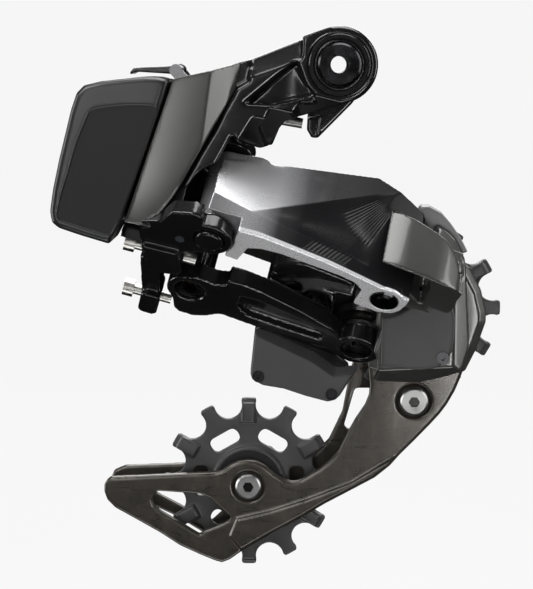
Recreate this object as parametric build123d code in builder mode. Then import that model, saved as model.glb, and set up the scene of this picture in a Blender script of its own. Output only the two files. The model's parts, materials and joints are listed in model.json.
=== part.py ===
# Rear bicycle derailleur with a wireless battery, millimetres.
# Origin: where the hanger bolt's axis meets the hanger's outboard face.
# +X is the bicycle's forward direction, +Y is inboard, +Z is up.
import os
from math import cos, sin, radians, degrees, atan2, sqrt, pi
from build123d import *

os.makedirs("parts", exist_ok=True)

# ---------------------------------------------------------------- driving dimensions
BOSS_R = 10.4            # knuckle boss round the hanger bolt
BOSS_FRONT = -17.0       # outboard face of the boss
BOSS_BACK = -4.4         # inboard face of the boss, clear of the tab washer
BOLT_R = 5.3             # plain shank of the hanger bolt
THREAD_R = 4.9           # its M10 thread, drawn plain
HEX_5 = 2.5              # half of a 5 mm hex key
BUSH_R = 6.0             # bush between bolt and boss

LINK_LEN = 51.4          # between the two pins of each link
PIN_R = 2.0              # linkage pins
EYE_R = 5.2              # barrels round the pins
FIT = 0.04               # radial running fit

PULLEY_PITCH_R = 24.53   # 12 teeth of half-inch chain
PULLEY_TIP_R = 26.6
PULLEY_Y = 38.0          # centre plane of the chain
CAGE_FRONT = 30.9        # outboard face of the outer cage plate
CAGE_T = 2.6             # cage plate thickness
INNER_Y = 45.2           # inboard face of the inner cage plate
UX, UZ = 24.1, -74.0     # upper pulley and cage pivot
LX, LZ = -26.6, -129.2   # lower pulley
CX, CZ = 24.2, -102.1    # third cage bolt

# ---------------------------------------------------------------- construction frames
# The four linkage pins are parallel. PF has its z along the pins, pointing up and inboard,
# with its origin at the outboard end of the knuckle's outer pin.
UP = Vector(0.1752, 0.6759, 0.7159)
BO = Vector(-35.08, -22.0, -47.03)
PF = Plane(origin=BO, x_dir=(0.98453, -0.12027, -0.12739), z_dir=UP)
V = (48.29, 17.63)       # from knuckle pin to P-knuckle pin
W = (-6.98, 25.42)       # from outer link pin to inner link pin
BI2 = W
PO2 = V
PI2 = (V[0] + W[0], V[1] + W[1])
LINK_DEG = degrees(atan2(V[1], V[0]))


def pf(s, t, z):
    return PF.from_local_coords((s, t, z))


def lat(y):
    """Plane facing outboard at lateral position y; local axes are world X and Z."""
    return Plane.XZ.offset(-y)


# link frames: x along the link, y inboard across it, z along the pins
c20, s20 = cos(radians(LINK_DEG)), sin(radians(LINK_DEG))
LINK_X = pf(c20, s20, 0) - pf(0, 0, 0)
LO = Plane(origin=BO, x_dir=LINK_X, z_dir=UP)
LI = Plane(origin=pf(W[0], W[1], 0), x_dir=LINK_X, z_dir=UP)
SIDE = Plane(origin=BO, x_dir=LINK_X, z_dir=LO.y_dir * -1)     # looks along the links from outboard


def lo(u, o, z):
    return LO.from_local_coords((u, -o, z))


def face_plane(a, b, c, outward):
    """Plane through three points with its normal turned towards outward."""
    n = (b - a).cross(c - a).normalized()
    if n.dot(outward) < 0:
        n = n * -1
    return Plane(origin=a, z_dir=n)


B_AX = Vector(0.985, 0, -0.17)      # B-tension screw
OUT = LO.from_local_coords((0, -1, 0)) - LO.from_local_coords((0, 0, 0))


def save(name, part):
    part.label = name
    export_step(part, "parts/" + name + ".step")


# ================================================================= B-knuckle
ARM = [(-2.4, 10.2), (-10.7, 7.4), (-18.7, 4.0), (-23.2, 2.5), (-24.5, -4.5), (-27.7, -6.3), (-30.0, -10.5),
       (-33.2, -17.0), (-37.8, -24.5), (-42.2, -32.5), (-44.6, -36.0), (-44.4, -39.8), (-38.9, -39.2),
       (-36.7, -32.4), (-33.7, -27.0), (-29.0, -18.8), (-27.9, -20.7), (-22.0, -22.9), (-18.4, -22.2),
       (-16.3, -17.2), (-14.7, -15.2), (-7.9, -13.2), (-2.5, -11.7), (3.4, -9.8), (3.0, 5.0)]
BACK = [(-2.4, 9.0), (-10.7, 6.6), (-23.0, 1.8), (-44.3, -4.3), (-57.3, -41.0), (-51.0, -43.4), (-44.6, -39.8),
        (-38.9, -39.2), (-36.7, -32.4), (-33.7, -27.0), (-29.0, -18.8), (-27.9, -20.7), (-22.0, -22.9),
        (-18.4, -22.2), (-16.3, -17.2), (-14.7, -15.2), (-7.9, -13.2), (3.4, -9.8)]
with BuildPart() as b_knuckle:
    # arm and back wall
    with BuildSketch(lat(-5.0)):
        Polygon(*BACK, align=None)
    extrude(amount=10.0)
    with BuildSketch(lat(-14.0)):
        Polygon(*ARM, align=None)
    extrude(amount=3.0)
    # upper lit facet of the arm, from the boss to the cover
    with BuildSketch(Plane.YZ.offset(-24.0)):
        with Locations((-17.0, -3.6)):
            Polygon((-1, -0.0), (0, 0), (4.5, 6.6), (4.5, 12), (-1, 12), align=None)
    with BuildSketch(Plane.YZ.offset(-10.0)):
        with Locations((-17.0, 1.2)):
            Polygon((-1, -0.0), (0, 0), (4.5, 6.6), (4.5, 12), (-1, 12), align=None)
    loft(mode=Mode.SUBTRACT)
    # concave pocket of the arm
    with BuildSketch(lat(-12.4)) as pocket:
        Polygon((-22.6, -9.4), (-12.2, -0.9), (-11.3, -3.2), (-9.8, -5.6), (-7.0, -7.0), (-18.7, -9.6), align=None)
    extrude(amount=6.0, taper=-18, mode=Mode.SUBTRACT)
    # boss round the hanger bolt
    with BuildSketch(lat(BOSS_BACK)):
        Circle(BOSS_R)
    extrude(amount=BOSS_BACK - BOSS_FRONT)
    chamfer(b_knuckle.edges().filter_by(GeomType.CIRCLE).sort_by(Axis.Y)[0], 0.8)
    # underside recess above the links
    with BuildSketch(PF.offset(29.3)):
        with Locations((0, 0)):
            Polygon((-4.5, -8), (0, -9), (8, -20), (62, -60), (75, 20), (60, 45), (12, 16), (0, 9.5), (-4.5, 8), align=None)
    extrude(amount=-40, mode=Mode.SUBTRACT)
    with BuildSketch(PF.offset(31.8)):
        Polygon((10.0, -5), (8.0, -14), (14, -26), (62, -60), (75, 20), (60, 45), (14, 20), align=None)
    extrude(amount=-10, mode=Mode.SUBTRACT)
    with BuildSketch(PF.offset(36.2)):
        Polygon((20, -5), (17, -19), (50, -60), (75, 20), (60, 45), (22, 20), align=None)
    extrude(amount=-10, mode=Mode.SUBTRACT)
    # spine that carries the pin lugs
    with BuildSketch(PF.offset(0.3)):
        Polygon((-19.5, -3.5), (-6.7, -6.5), (-6.7, 6.5), (-8.6, 14.0), (-19.5, 14.0), align=None)
    extrude(amount=31)
    # the link's rear corner swings past the spine
    with BuildSketch(PF.offset(4.9)):
        Circle(10.3)
    extrude(amount=24.4, mode=Mode.SUBTRACT)
    # top plate over both knuckle pins
    with BuildSketch(PF.offset(29.4)):
        with Locations((0, 0), BI2):
            Circle(6.4)
        Polygon((-19.5, -3.5), (-1.0, -6.3), (6.2, 1.5), (-0.8, 26.7), (-7.0, 31.8), (-13.3, 26.0), (-19.5, 14.0), align=None)
    extrude(amount=4.0)
    # lower lug of the outer pin
    with BuildSketch(PF):
        Circle(6.2)
        Polygon((-19.5, -1.0), (-16.4, -1.4), (-13.2, -5.2), (-9.8, -10.0), (-3.6, -10.8), (-1.4, -9.8), (-1.5, 6.0), (-19.5, 10.0), align=None)
    extrude(amount=4.6)
    # barrel of the inner pin and its arm to the spine
    with BuildSketch(PF.offset(6.0)):
        with Locations(BI2):
            Circle(5.4)
        Polygon((-19.5, 12.0), (-8.8, 12.0), (-5.0, 20.4), (-9.8, 30.0), (-19.5, 24.0), align=None)
    extrude(amount=16.5)
    # limit screw bosses and the plate that joins them
    with BuildSketch(PF.offset(-1.4)):
        Polygon((-18.6, 5.0), (-9.0, 6.8), (-8.2, 15.0), (-10.0, 17.0), (-17.8, 16.4), align=None)
    extrude(amount=8.6)
    with BuildSketch(PF.offset(-1.4)):
        with Locations((-19.2, 33.2)):
            RectangleRounded(5.6, 9.4, 1.6, rotation=12)
    extrude(amount=8.6)
    with BuildSketch(PF.offset(0.6)):
        Polygon((-20.5, 13.0), (-15.4, 13.0), (-15.4, 24.0), (-16.4, 31.0), (-21.5, 31.0), align=None)
    extrude(amount=6.6)
    # bores: hanger bolt bush, pins, button, limit screws
    with BuildSketch(lat(0)):
        Circle(BUSH_R)
    extrude(amount=20, mode=Mode.SUBTRACT)
    with BuildSketch(lat(-15.2)):
        Circle(8.4)
        Circle(6.9, mode=Mode.SUBTRACT)
    extrude(amount=3, mode=Mode.SUBTRACT)
    with BuildSketch(PF.offset(2.2)):
        Circle(PIN_R)
        with Locations(BI2):
            Circle(PIN_R)
    extrude(amount=32, mode=Mode.SUBTRACT)
    with BuildSketch(PF.offset(-2)):
        Circle(4.0)
    extrude(amount=4.2, mode=Mode.SUBTRACT)
    with BuildSketch(Plane(origin=pf(-26.0, 9.2, 2.6), z_dir=pf(0.978, 0.208, 0) - pf(0, 0, 0))):
        Circle(1.55)
    extrude(amount=30, mode=Mode.SUBTRACT)
    with BuildSketch(Plane(origin=pf(-27.0, 31.6, 2.6), z_dir=pf(0.978, 0.208, 0) - pf(0, 0, 0))):
        Circle(1.55)
    extrude(amount=14, mode=Mode.SUBTRACT)
    # tapped hole and counterbore of the B-tension screw
    with BuildSketch(Plane(origin=(-25.6, -6.6, -13.4), z_dir=B_AX)):
        Circle(1.5)
    extrude(amount=22, mode=Mode.SUBTRACT)
    with BuildSketch(Plane(origin=(-32.0, -6.6, -12.3), z_dir=B_AX)):
        Circle(2.5)
    extrude(amount=14.0, mode=Mode.SUBTRACT)
    # pocket of the control board, closed by the cover
    with BuildSketch(lat(-15.0)):
        Polygon((-41.5, -9.0), (-34.6, -8.5), (-37.6, -16.5), (-45.4, -30.0), (-48.6, -29.0), align=None)
    extrude(amount=-3.2, mode=Mode.SUBTRACT)
knuckle = b_knuckle.part.solids().sort_by(SortBy.VOLUME)[-1]
save("b_knuckle", knuckle)

with BuildPart() as knuckle_cover:
    with BuildSketch(lat(-15.1)):
        Polygon((-44.3, -3.8), (-39.9, -2.7), (-34.6, -1.5), (-29.3, -0.1), (-23.6, 1.9), (-23.8, -3.9), (-26.6, -5.1),
                (-27.7, -6.1), (-29.3, -8.8), (-32, -13.3), (-34.7, -17.8), (-37.4, -22.6), (-40.1, -27.2), (-42.8, -32),
                (-45, -35.6), (-48.3, -39.6), (-51.0, -43.6), (-57.6, -41.6), align=None)
    extrude(amount=9.4)
    # the cover falls away towards the arm and towards the lower end
    with BuildSketch(lat(-13.0)):
        Polygon(*[(x, z) for x, z in ARM[3:12]], (-40, -45), (-20, -45), (-20, 3), align=None)
    extrude(amount=12, mode=Mode.SUBTRACT)
    split(bisect_by=face_plane(Vector(-44, -24.5, -4), Vector(-57, -24.5, -40), Vector(-30, -20.0, -8), Vector(0.3, -1, 0)),
          keep=Keep.BOTTOM)
    split(bisect_by=face_plane(Vector(-30, -18.2, -1), Vector(-33.0, -18.2, -15), Vector(-38, -23.2, -12), Vector(1, -1, 0)),
          keep=Keep.BOTTOM)
    # dished inside
    with BuildSketch(lat(-15.0)):
        Polygon((-42.0, -7.0), (-33.0, -6.0), (-36.5, -16.0), (-47.5, -36.0), (-53.0, -38.0), align=None)
    extrude(amount=4.6, mode=Mode.SUBTRACT)
    add(knuckle, mode=Mode.SUBTRACT)
save("knuckle_cover", knuckle_cover.part.solids().sort_by(SortBy.VOLUME)[-1])

with BuildPart() as dock_block:
    with BuildSketch(lat(-6.0)):
        Polygon((-58.9, -42.9), (-51.6, -44.9), (-52.6, -50.0), (-53.6, -56.6), (-59.5, -54.6), (-63.4, -53.0), (-61.8, -49.4),
                align=None)
    extrude(amount=7.2)
    chamfer(dock_block.faces().sort_by(Axis.Y)[0].edges(), 1.2)
    add(knuckle, mode=Mode.SUBTRACT)
    # relief for the heads of the two limit screws
    with BuildSketch(PF.offset(5.6)):
        Polygon((-30, 5.6), (-15, 8.8), (-15, 17), (-30, 15), align=None)
    extrude(amount=-40, mode=Mode.SUBTRACT)
    with BuildSketch(PF.offset(5.6)):
        Polygon((-31, 25.5), (-15, 28.0), (-15, 40), (-31, 38), align=None)
    extrude(amount=-40, mode=Mode.SUBTRACT)
save("dock_block", dock_block.part.solids().sort_by(SortBy.VOLUME)[-1])

with BuildPart() as battery_contacts:
    # gold pins that stand out of the dock wall
    for zz in (-16.0, -20.0, -24.0):
        with BuildSketch(Plane(origin=(-44.3 + (zz + 4.3) * 13.0 / 36.7, -10.0, zz), z_dir=(-0.942, 0, 0.336))):
            Circle(0.8)
        extrude(amount=0.25)
save("battery_contacts", battery_contacts.part)

with BuildPart() as boss_ring:
    with BuildSketch(lat(-15.2)):
        Circle(8.4)
        Circle(6.9, mode=Mode.SUBTRACT)
    extrude(amount=1.9)
    chamfer(boss_ring.faces().sort_by(Axis.Y)[0].edges(), 0.3)
save("boss_ring", boss_ring.part)

with BuildPart() as bolt_bush:
    with BuildSketch(lat(BOSS_BACK)):
        Circle(BUSH_R)
        Circle(BOLT_R + FIT, mode=Mode.SUBTRACT)
    extrude(amount=11.6)
save("bolt_bush", bolt_bush.part)

with BuildPart() as hanger_bolt:
    with BuildSketch(lat(0)):
        Circle(BOLT_R)
    extrude(amount=16.2)
    with BuildSketch(lat(9.0)):
        Circle(THREAD_R)
    extrude(amount=9.0)
    # flange that pulls the knuckle against the hanger
    with BuildSketch(lat(-16.1)):
        Circle(5.85)
    extrude(amount=1.5)
    chamfer(hanger_bolt.edges().filter_by(GeomType.CIRCLE).sort_by(Axis.Y)[-1], 0.7)
    chamfer(hanger_bolt.edges().filter_by(GeomType.CIRCLE).sort_by(Axis.Y)[0], 0.5)
    with BuildSketch(lat(-12.0)):
        RegularPolygon(HEX_5, 6, major_radius=False)
    extrude(amount=8, mode=Mode.SUBTRACT)
    with BuildSketch(lat(10)):
        Circle(2.35)
    extrude(amount=30, mode=Mode.SUBTRACT)
    # groove of the retaining ring
    with BuildSketch(lat(-3.4)):
        Circle(7)
        Circle(4.5, mode=Mode.SUBTRACT)
    extrude(amount=0.8, mode=Mode.SUBTRACT)
    # relief groove where the thread meets the shank
    with BuildSketch(lat(0)):
        Circle(7)
        Circle(4.5, mode=Mode.SUBTRACT)
    extrude(amount=0.4, mode=Mode.SUBTRACT)
save("hanger_bolt", hanger_bolt.part)

with BuildPart() as bolt_circlip:
    with BuildSketch(lat(-3.45)):
        Circle(5.9)
        Circle(4.5, mode=Mode.SUBTRACT)
        with Locations((0, -5.0)):
            Rectangle(2.4, 4, mode=Mode.SUBTRACT)
    extrude(amount=0.7)
save("bolt_circlip", bolt_circlip.part)

# washer against the hanger, with the tab that the B-tension screw pushes
with BuildPart() as tab_washer:
    with BuildSketch(lat(0)):
        Circle(9.4)
        Polygon((-7.9, -5), (-8.6, -14.0), (-8.8, -17.5), (-7.6, -20.2), (-5.7, -20.3), (3.8, -10.7), (7, -6), align=None)
        Circle(BOLT_R + FIT, mode=Mode.SUBTRACT)
    extrude(amount=3.1)
    with BuildSketch(lat(-2.0)):
        Circle(6.3)
    extrude(amount=2.0, mode=Mode.SUBTRACT)
    # shallow relief on the hanger side
    with BuildSketch(lat(0)):
        Circle(7.2)
    extrude(amount=0.1, mode=Mode.SUBTRACT)
    with BuildSketch(lat(-3.0)):
        Polygon((-8.6, -14.6), (-8.8, -17.8), (-7.6, -19.8), (-5.9, -19.8), (-5.2, -14.6), align=None)
    extrude(amount=4.6)
    chamfer(tab_washer.faces().sort_by(Axis.Y)[-1].edges().filter_by(GeomType.LINE), 0.3)
save("tab_washer", tab_washer.part)

with BuildPart() as b_screw:
    with BuildSketch(Plane(origin=(-22.6, -6.6, -13.9), z_dir=B_AX)):
        Circle(1.45)
    extrude(amount=12.8)
    with BuildSketch(Plane(origin=(-24.6, -6.6, -13.55), z_dir=B_AX)):
        Circle(2.3)
    extrude(amount=2.2)
    with BuildSketch(Plane(origin=(-25.0, -6.6, -13.48), z_dir=B_AX)):
        RegularPolygon(1.0, 6, major_radius=False)
    extrude(amount=1.8, mode=Mode.SUBTRACT)
save("b_screw", b_screw.part)

with BuildPart() as control_board:
    with BuildSketch(lat(-12.2)):
        Polygon((-41.2, -9.6), (-35.2, -9.1), (-38.0, -16.6), (-45.5, -29.4), (-48.0, -28.6), align=None)
    extrude(amount=1.2)
    with BuildSketch(lat(-13.4)):
        with Locations((-39.4, -13.0), (-42.6, -19.5)):
            Rectangle(3.6, 3.6)
    extrude(amount=1.0)
save("control_board", control_board.part)


def screw_along(origin, direction, head_r, head_l, shank_r, shank_l, hex_r):
    """Socket screw solid: head from origin, then its shank, along direction."""
    pl = Plane(origin=origin, z_dir=direction)
    with BuildPart() as p:
        with BuildSketch(pl):
            Circle(head_r)
        extrude(amount=head_l)
        with BuildSketch(pl):
            Circle(shank_r)
        extrude(amount=head_l + shank_l)
        with BuildSketch(pl):
            RegularPolygon(hex_r, 6, major_radius=False)
        extrude(amount=head_l * 0.6, mode=Mode.SUBTRACT)
    return p.part


AX_LIM = pf(0.978, 0.208, 0) - pf(0, 0, 0)
save("limit_screw_high", screw_along(pf(-24.9, 9.44, 2.6), AX_LIM, 2.5, 3.0, 1.48, 17.4, 1.0))
save("limit_screw_low", screw_along(pf(-27.3, 31.54, 2.6), AX_LIM, 2.5, 3.0, 1.48, 11.2, 1.0))

with BuildPart() as function_button:
    with BuildSketch(PF.offset(-0.9)):
        Circle(3.9)
    extrude(amount=2.1)
    fillet(function_button.edges().filter_by(GeomType.CIRCLE).group_by(Axis(origin=BO, direction=UP))[0], 0.8)
save("function_button", function_button.part)

with BuildPart() as led_window:
    # small window beside the button, set into the face of the lug
    with BuildSketch(PF.offset(-0.2)):
        with Locations((-8.2, 1.2)):
            Circle(1.3)
    extrude(amount=0.2)
save("led_window", led_window.part)

# pins of the knuckle end, fixed in the knuckle
with BuildPart() as knuckle_pins:
    with BuildSketch(PF.offset(2.2)):
        Circle(PIN_R)
    extrude(amount=31.0)
    with BuildSketch(PF.offset(0.8)):
        with Locations(BI2):
            Circle(PIN_R)
    extrude(amount=32.4)
save("knuckle_pins", knuckle_pins.part)

# ================================================================= battery
BAT = [(-67.9, -5.3), (-63.5, -4.2), (-58.2, -3.6), (-51.6, -3.1), (-48.1, -3.2), (-45.3, -3.9), (-46.9, -9.0),
       (-58.6, -41.6), (-59.3, -43.2), (-61.8, -47.8), (-69.5, -45.5), (-75.4, -43.5), (-77.2, -42.0), (-77.7, -39.0),
       (-76.8, -33.1), (-75.0, -25.1), (-73.3, -18.5), (-71.6, -11.9), (-70.0, -7.4)]
with BuildPart() as battery:
    with BuildSketch(lat(-4.0)):
        Polygon(*BAT, align=None)
    extrude(amount=22.0)
    fillet(battery.faces().sort_by(Axis.Y)[0].edges().filter_by(lambda e: e.center().X < -59.5 or e.center().Z > -4.5), 1.6)
    fillet(battery.faces().sort_by(Axis.Y)[-1].edges().filter_by(lambda e: e.center().X < -59.5 or e.center().Z > -4.5), 1.6)
    # seat of the side panel
    with BuildSketch(lat(-25.2)):
        Polygon((-66.4, -12.6), (-64.9, -11.6), (-60.9, -11.0), (-55.6, -10.6), (-50.3, -10.7), (-48.4, -11.4), (-58.8, -40.6),
                (-61.9, -45.2), (-69.0, -43.0), (-75.0, -41.0), (-75.4, -39.5), (-74.2, -34.5), (-71.9, -27.3), (-69.6, -20.0),
                align=None)
    extrude(amount=2.0, mode=Mode.SUBTRACT)
    # contact recess in the dock face
    for zz in (-16.0, -20.0, -24.0):
        with BuildSketch(Plane(origin=(-45.3 + (zz + 4.3) * 13.0 / 36.7, -10.0, zz), z_dir=(-0.942, 0, 0.336))):
            Circle(1.3)
        extrude(amount=0.8, both=True, mode=Mode.SUBTRACT)
    # cell cavity
    with BuildSketch(lat(-6.2)):
        Polygon((-64.5, -8.0), (-51.0, -7.2), (-61.4, -38.0), (-72.5, -36.5), align=None)
    extrude(amount=15.0, mode=Mode.SUBTRACT)
save("battery", battery.part)

with BuildPart() as battery_panel:
    with BuildSketch(lat(-25.2)):
        Polygon((-66.4, -12.6), (-64.9, -11.6), (-60.9, -11.0), (-55.6, -10.6), (-50.3, -10.7), (-48.4, -11.4), (-58.8, -40.6),
                (-61.9, -45.2), (-69.0, -43.0), (-75.0, -41.0), (-75.4, -39.5), (-74.2, -34.5), (-71.9, -27.3), (-69.6, -20.0),
                align=None)
    extrude(amount=0.55)
save("battery_panel", battery_panel.part)

with BuildPart() as battery_cell:
    with BuildSketch(lat(-6.3)):
        Polygon((-64.2, -8.4), (-51.6, -7.6), (-61.8, -37.6), (-72.0, -36.1), align=None)
    extrude(amount=14.8)
save("battery_cell", battery_cell.part)

# latch along the top of the battery, hinged on the cover
with BuildPart() as battery_latch:
    with BuildSketch(lat(-8.0)):
        Polygon((-56.2, -2.7), (-55.2, -2.0), (-54.0, -1.9), (-46.0, -2.4), (-43.2, -2.6), (-42.6, -1.2), (-43.6, -0.4),
                (-44.6, -0.3), (-55.2, -0.8), (-56.4, -2.2), align=None)
    extrude(amount=12.0)
    with BuildSketch(lat(-7.9)):
        with Locations((-43.7, -1.5)):
            Circle(1.35)
    extrude(amount=12.2)
    with BuildSketch(lat(0)):
        with Locations((-43.7, -1.5)):
            Circle(0.8 + FIT)
    extrude(amount=30, mode=Mode.SUBTRACT)
save("battery_latch", battery_latch.part)

with BuildPart() as latch_pin:
    with BuildSketch(lat(-5.6)):
        with Locations((-43.7, -1.5)):
            Circle(0.8)
    extrude(amount=16.8)
    # ears that hold the pin, standing on the knuckle and on the cover
    with BuildSketch(lat(-5.4)):
        with Locations((-43.7, -1.5)):
            Circle(1.7)
        Polygon((-45.0, -2.2), (-42.2, -1.2), (-40.6, -3.1), (-43.9, -4.1), align=None)
    extrude(amount=2.0)
    with BuildSketch(lat(-20.6)):
        with Locations((-43.7, -1.5)):
            Circle(1.7)
        Polygon((-45.0, -2.2), (-42.2, -1.2), (-40.6, -2.95), (-44.0, -3.8), align=None)
    extrude(amount=1.8)
    add(knuckle, mode=Mode.SUBTRACT)
    add(knuckle_cover.part, mode=Mode.SUBTRACT)
save("latch_pin", latch_pin.part)

# ================================================================= outer link
ZL, ZM, ZR = 25.2, 34.8, 30.2      # top rim of the link at the knuckle end, at its peak and at the P end
with BuildPart() as outer_link:
    # bulky outboard skin with a flange above and below
    with BuildSketch(LO.offset(1.0)):
        Polygon((3.0, 5.6), (6.0, -4.0), (-1.0, -5.6), (-3.6, -6.6), (-3.4, -9.6), (12.0, -12.8), (48.0, -12.8), (53.6, -10.0),
                (57.2, -6.2), (57.4, -1.0), (55.6, 4.2), (51.4, 6.0), align=None)
    extrude(amount=ZM + 1)
    # no skin below the lug at the rear end
    with BuildSketch(LO.offset(-1)):
        Polygon((-6, 8), (-6, -14), (4.2, -14), (6.4, -5), (6.0, 8), align=None)
    extrude(amount=6.0, mode=Mode.SUBTRACT)
    # top rim falls towards the knuckle
    split(bisect_by=face_plane(lo(4, 0, ZL), lo(41, 0, ZM), lo(4, 10, ZL), UP), keep=Keep.BOTTOM)
    split(bisect_by=face_plane(lo(41, 0, ZM), lo(53, 0, ZR), lo(41, 10, ZM), UP), keep=Keep.BOTTOM)
    # upper bright facet: from the top rim down to the ridge
    split(bisect_by=face_plane(lo(4, 6.6, 28.0), lo(9, 9.4, 7.5), lo(48, 9.0, 33.0), OUT), keep=Keep.BOTTOM)
    # lower dark facet in two planes: from the ridge to the crease, which runs down to the P end
    split(bisect_by=face_plane(lo(7.6, 9.3, 7.0), lo(36, 8.2, 5.8), lo(47, 9.2, 31.5), OUT), keep=Keep.BOTTOM)
    split(bisect_by=face_plane(lo(36, 8.2, 5.8), lo(57, 4.7, 3.4), lo(47, 9.2, 31.5), OUT), keep=Keep.BOTTOM)
    # side strip below the crease
    split(bisect_by=face_plane(lo(7.6, 9.3, 7.0), lo(36, 8.2, 5.8), lo(24, 7.9, 1.0), OUT), keep=Keep.BOTTOM)
    split(bisect_by=face_plane(lo(36, 8.2, 5.8), lo(57, 4.7, 3.4), lo(46, 5.6, 1.0), OUT), keep=Keep.BOTTOM)
    split(bisect_by=face_plane(lo(3.6, 6.9, 1.0), lo(12.0, 8.3, 1.0), lo(6.0, 9.0, 7.0), OUT), keep=Keep.BOTTOM)
    # eye round the P pin
    with BuildSketch(LO.offset(1.0)):
        with Locations((LINK_LEN, 0)):
            Circle(5.7)
    extrude(amount=4.0)
    # hollow between the flanges
    with BuildSketch(LO.offset(5.0)):
        Polygon((6.2, 8), (8.4, 1.0), (8.6, -5.4), (34.0, -5.4), (47.0, -4.65), (63.0, -4.65), (63, 8), align=None)
    extrude(amount=23.2, mode=Mode.SUBTRACT)
    with BuildSketch(LO.offset(28.2)):
        Polygon((8.6, 8), (8.6, -6.0), (40.0, -6.0), (46.2, -3.0), (46.2, 8), align=None)
    extrude(amount=10, mode=Mode.SUBTRACT)
    # window in the top and bottom flange between the eyes
    with BuildSketch(LO.offset(-1)):
        Polygon((9.5, 8), (10.6, -1.2), (14.2, -3.1), (19.0, -4.0), (36.6, -4.0), (41.4, -3.3), (44.4, -1.0), (44.6, 8), align=None)
    extrude(amount=40, mode=Mode.SUBTRACT)
    # knuckle-end barrel
    with BuildSketch(LO.offset(5.0)):
        Circle(EYE_R)
        Polygon((0, 5.0), (0, -5.0), (7.6, -7.4), (10.2, -7.0), (10.2, 1.0), align=None)
    extrude(amount=23.2)
    # the knuckle's lugs stand above and below the barrel
    with BuildSketch(LO.offset(-1)):
        Circle(6.8)
        Polygon((-2, -6.6), (4.0, -5.6), (6.0, 0), (4.0, 8), (-2, 8), align=None)
    extrude(amount=6.0, mode=Mode.SUBTRACT)
    with BuildSketch(LO.offset(28.1)):
        Circle(7.2)
    extrude(amount=6.0, mode=Mode.SUBTRACT)
    # pin bores
    with BuildSketch(LO.offset(-1)):
        Circle(3.0)
        with Locations((LINK_LEN, 0)):
            Circle(PIN_R)
    extrude(amount=40, mode=Mode.SUBTRACT)
    with BuildSketch(LO.offset(-1)):
        with Locations((LINK_LEN, 0)):
            Circle(4.1)
    extrude(amount=2.6, mode=Mode.SUBTRACT)
save("outer_link", outer_link.part.solids().sort_by(SortBy.VOLUME)[-1])

with BuildPart() as outer_link_bushes:
    for z0 in (5.2, 25.0):
        with BuildSketch(LO.offset(z0)):
            Circle(3.0)
            Circle(PIN_R + FIT, mode=Mode.SUBTRACT)
        extrude(amount=3.0)
save("outer_link_bushes", outer_link_bushes.part)

with BuildPart() as outer_pin:
    # pin through the P-knuckle, tight in the outer link
    with BuildSketch(LO.offset(0.7)):
        with Locations((LINK_LEN, 0)):
            Circle(PIN_R)
    extrude(amount=29.6)
save("outer_pin", outer_pin.part)

with BuildPart() as outer_clip:
    with BuildSketch(LO.offset(0.9)):
        with Locations((LINK_LEN, 0)):
            Circle(3.9)
            Circle(PIN_R, mode=Mode.SUBTRACT)
            Rectangle(2.6, 9, align=(Align.CENTER, Align.MAX), mode=Mode.SUBTRACT)
    extrude(amount=0.6)
save("outer_clip", outer_clip.part)

# ================================================================= inner link
INNER = [(-12.6, 22.4), (-9.4, 19.2), (-3.9, 18.5), (0.7, 20.5), (3.9, 20.2), (4.6, 17.6), (8.8, 18.5), (14.4, 20.9),
         (24.9, 27.0), (33.6, 33.4), (36.3, 37.0), (37.0, 48.0), (29.0, 43.8), (24.9, 42.0), (19.0, 40.6), (12.0, 38.6),
         (7.3, 36.9), (1.5, 34.8), (-3.0, 37.0), (-6.5, 37.8), (-10.9, 36.6), (-12.2, 34.6), (-12.2, 31.0), (-12.6, 28.6)]
with BuildPart() as inner_link:
    with BuildSketch(PF):
        Polygon(*INNER, align=None)
        with Locations(PI2, BI2):
            Circle(6.6)
    extrude(amount=5.5)
    # raised rails leave a pocket along the link
    with BuildSketch(PF):
        Polygon((8.0, 24.6), (13.0, 25.4), (24.0, 31.2), (32.0, 37.2), (31.0, 40.4), (19.5, 37.0), (9.5, 33.6), (6.6, 30.0),
                align=None)
    extrude(amount=2.2, taper=8, mode=Mode.SUBTRACT)
    # recesses of the retaining clips
    with BuildSketch(PF):
        with Locations(PI2, BI2):
            Circle(4.5)
    extrude(amount=1.7, mode=Mode.SUBTRACT)
    # upper plate
    with BuildSketch(PF.offset(23.1)):
        with Locations(PI2, BI2):
            Circle(6.0)
        Polygon((-9.0, 31.0), (-4.9, 19.8), (43.4, 37.4), (39.2, 48.7), align=None)
    extrude(amount=4.2)
    # short wall between the two plates, behind the motor housing
    with BuildSketch(LI.offset(5.0)):
        Polygon((27.0, 5.2), (41.0, 5.2), (41.0, 7.4), (27.0, 7.4), align=None)
    extrude(amount=22.3)
    with BuildSketch(PF.offset(-1)):
        with Locations(BI2):
            Circle(3.0)
        with Locations(PI2):
            Circle(PIN_R + 0.35)
    extrude(amount=40, mode=Mode.SUBTRACT)
save("inner_link", inner_link.part)

with BuildPart() as inner_link_bushes:
    for z0 in (1.7, 23.2):
        with BuildSketch(PF.offset(z0)):
            with Locations(BI2):
                Circle(3.0)
                Circle(PIN_R + FIT, mode=Mode.SUBTRACT)
        extrude(amount=3.6)
save("inner_link_bushes", inner_link_bushes.part)

with BuildPart() as knuckle_pin_clip:
    # retaining clip on the lower end of the knuckle's inner pin
    with BuildSketch(PF.offset(0.9)):
        with Locations(BI2):
            Circle(4.0)
            Circle(PIN_R, mode=Mode.SUBTRACT)
            Rectangle(2.6, 9, align=(Align.CENTER, Align.MAX), mode=Mode.SUBTRACT)
    extrude(amount=0.6)
save("knuckle_pin_clip", knuckle_pin_clip.part)

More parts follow.
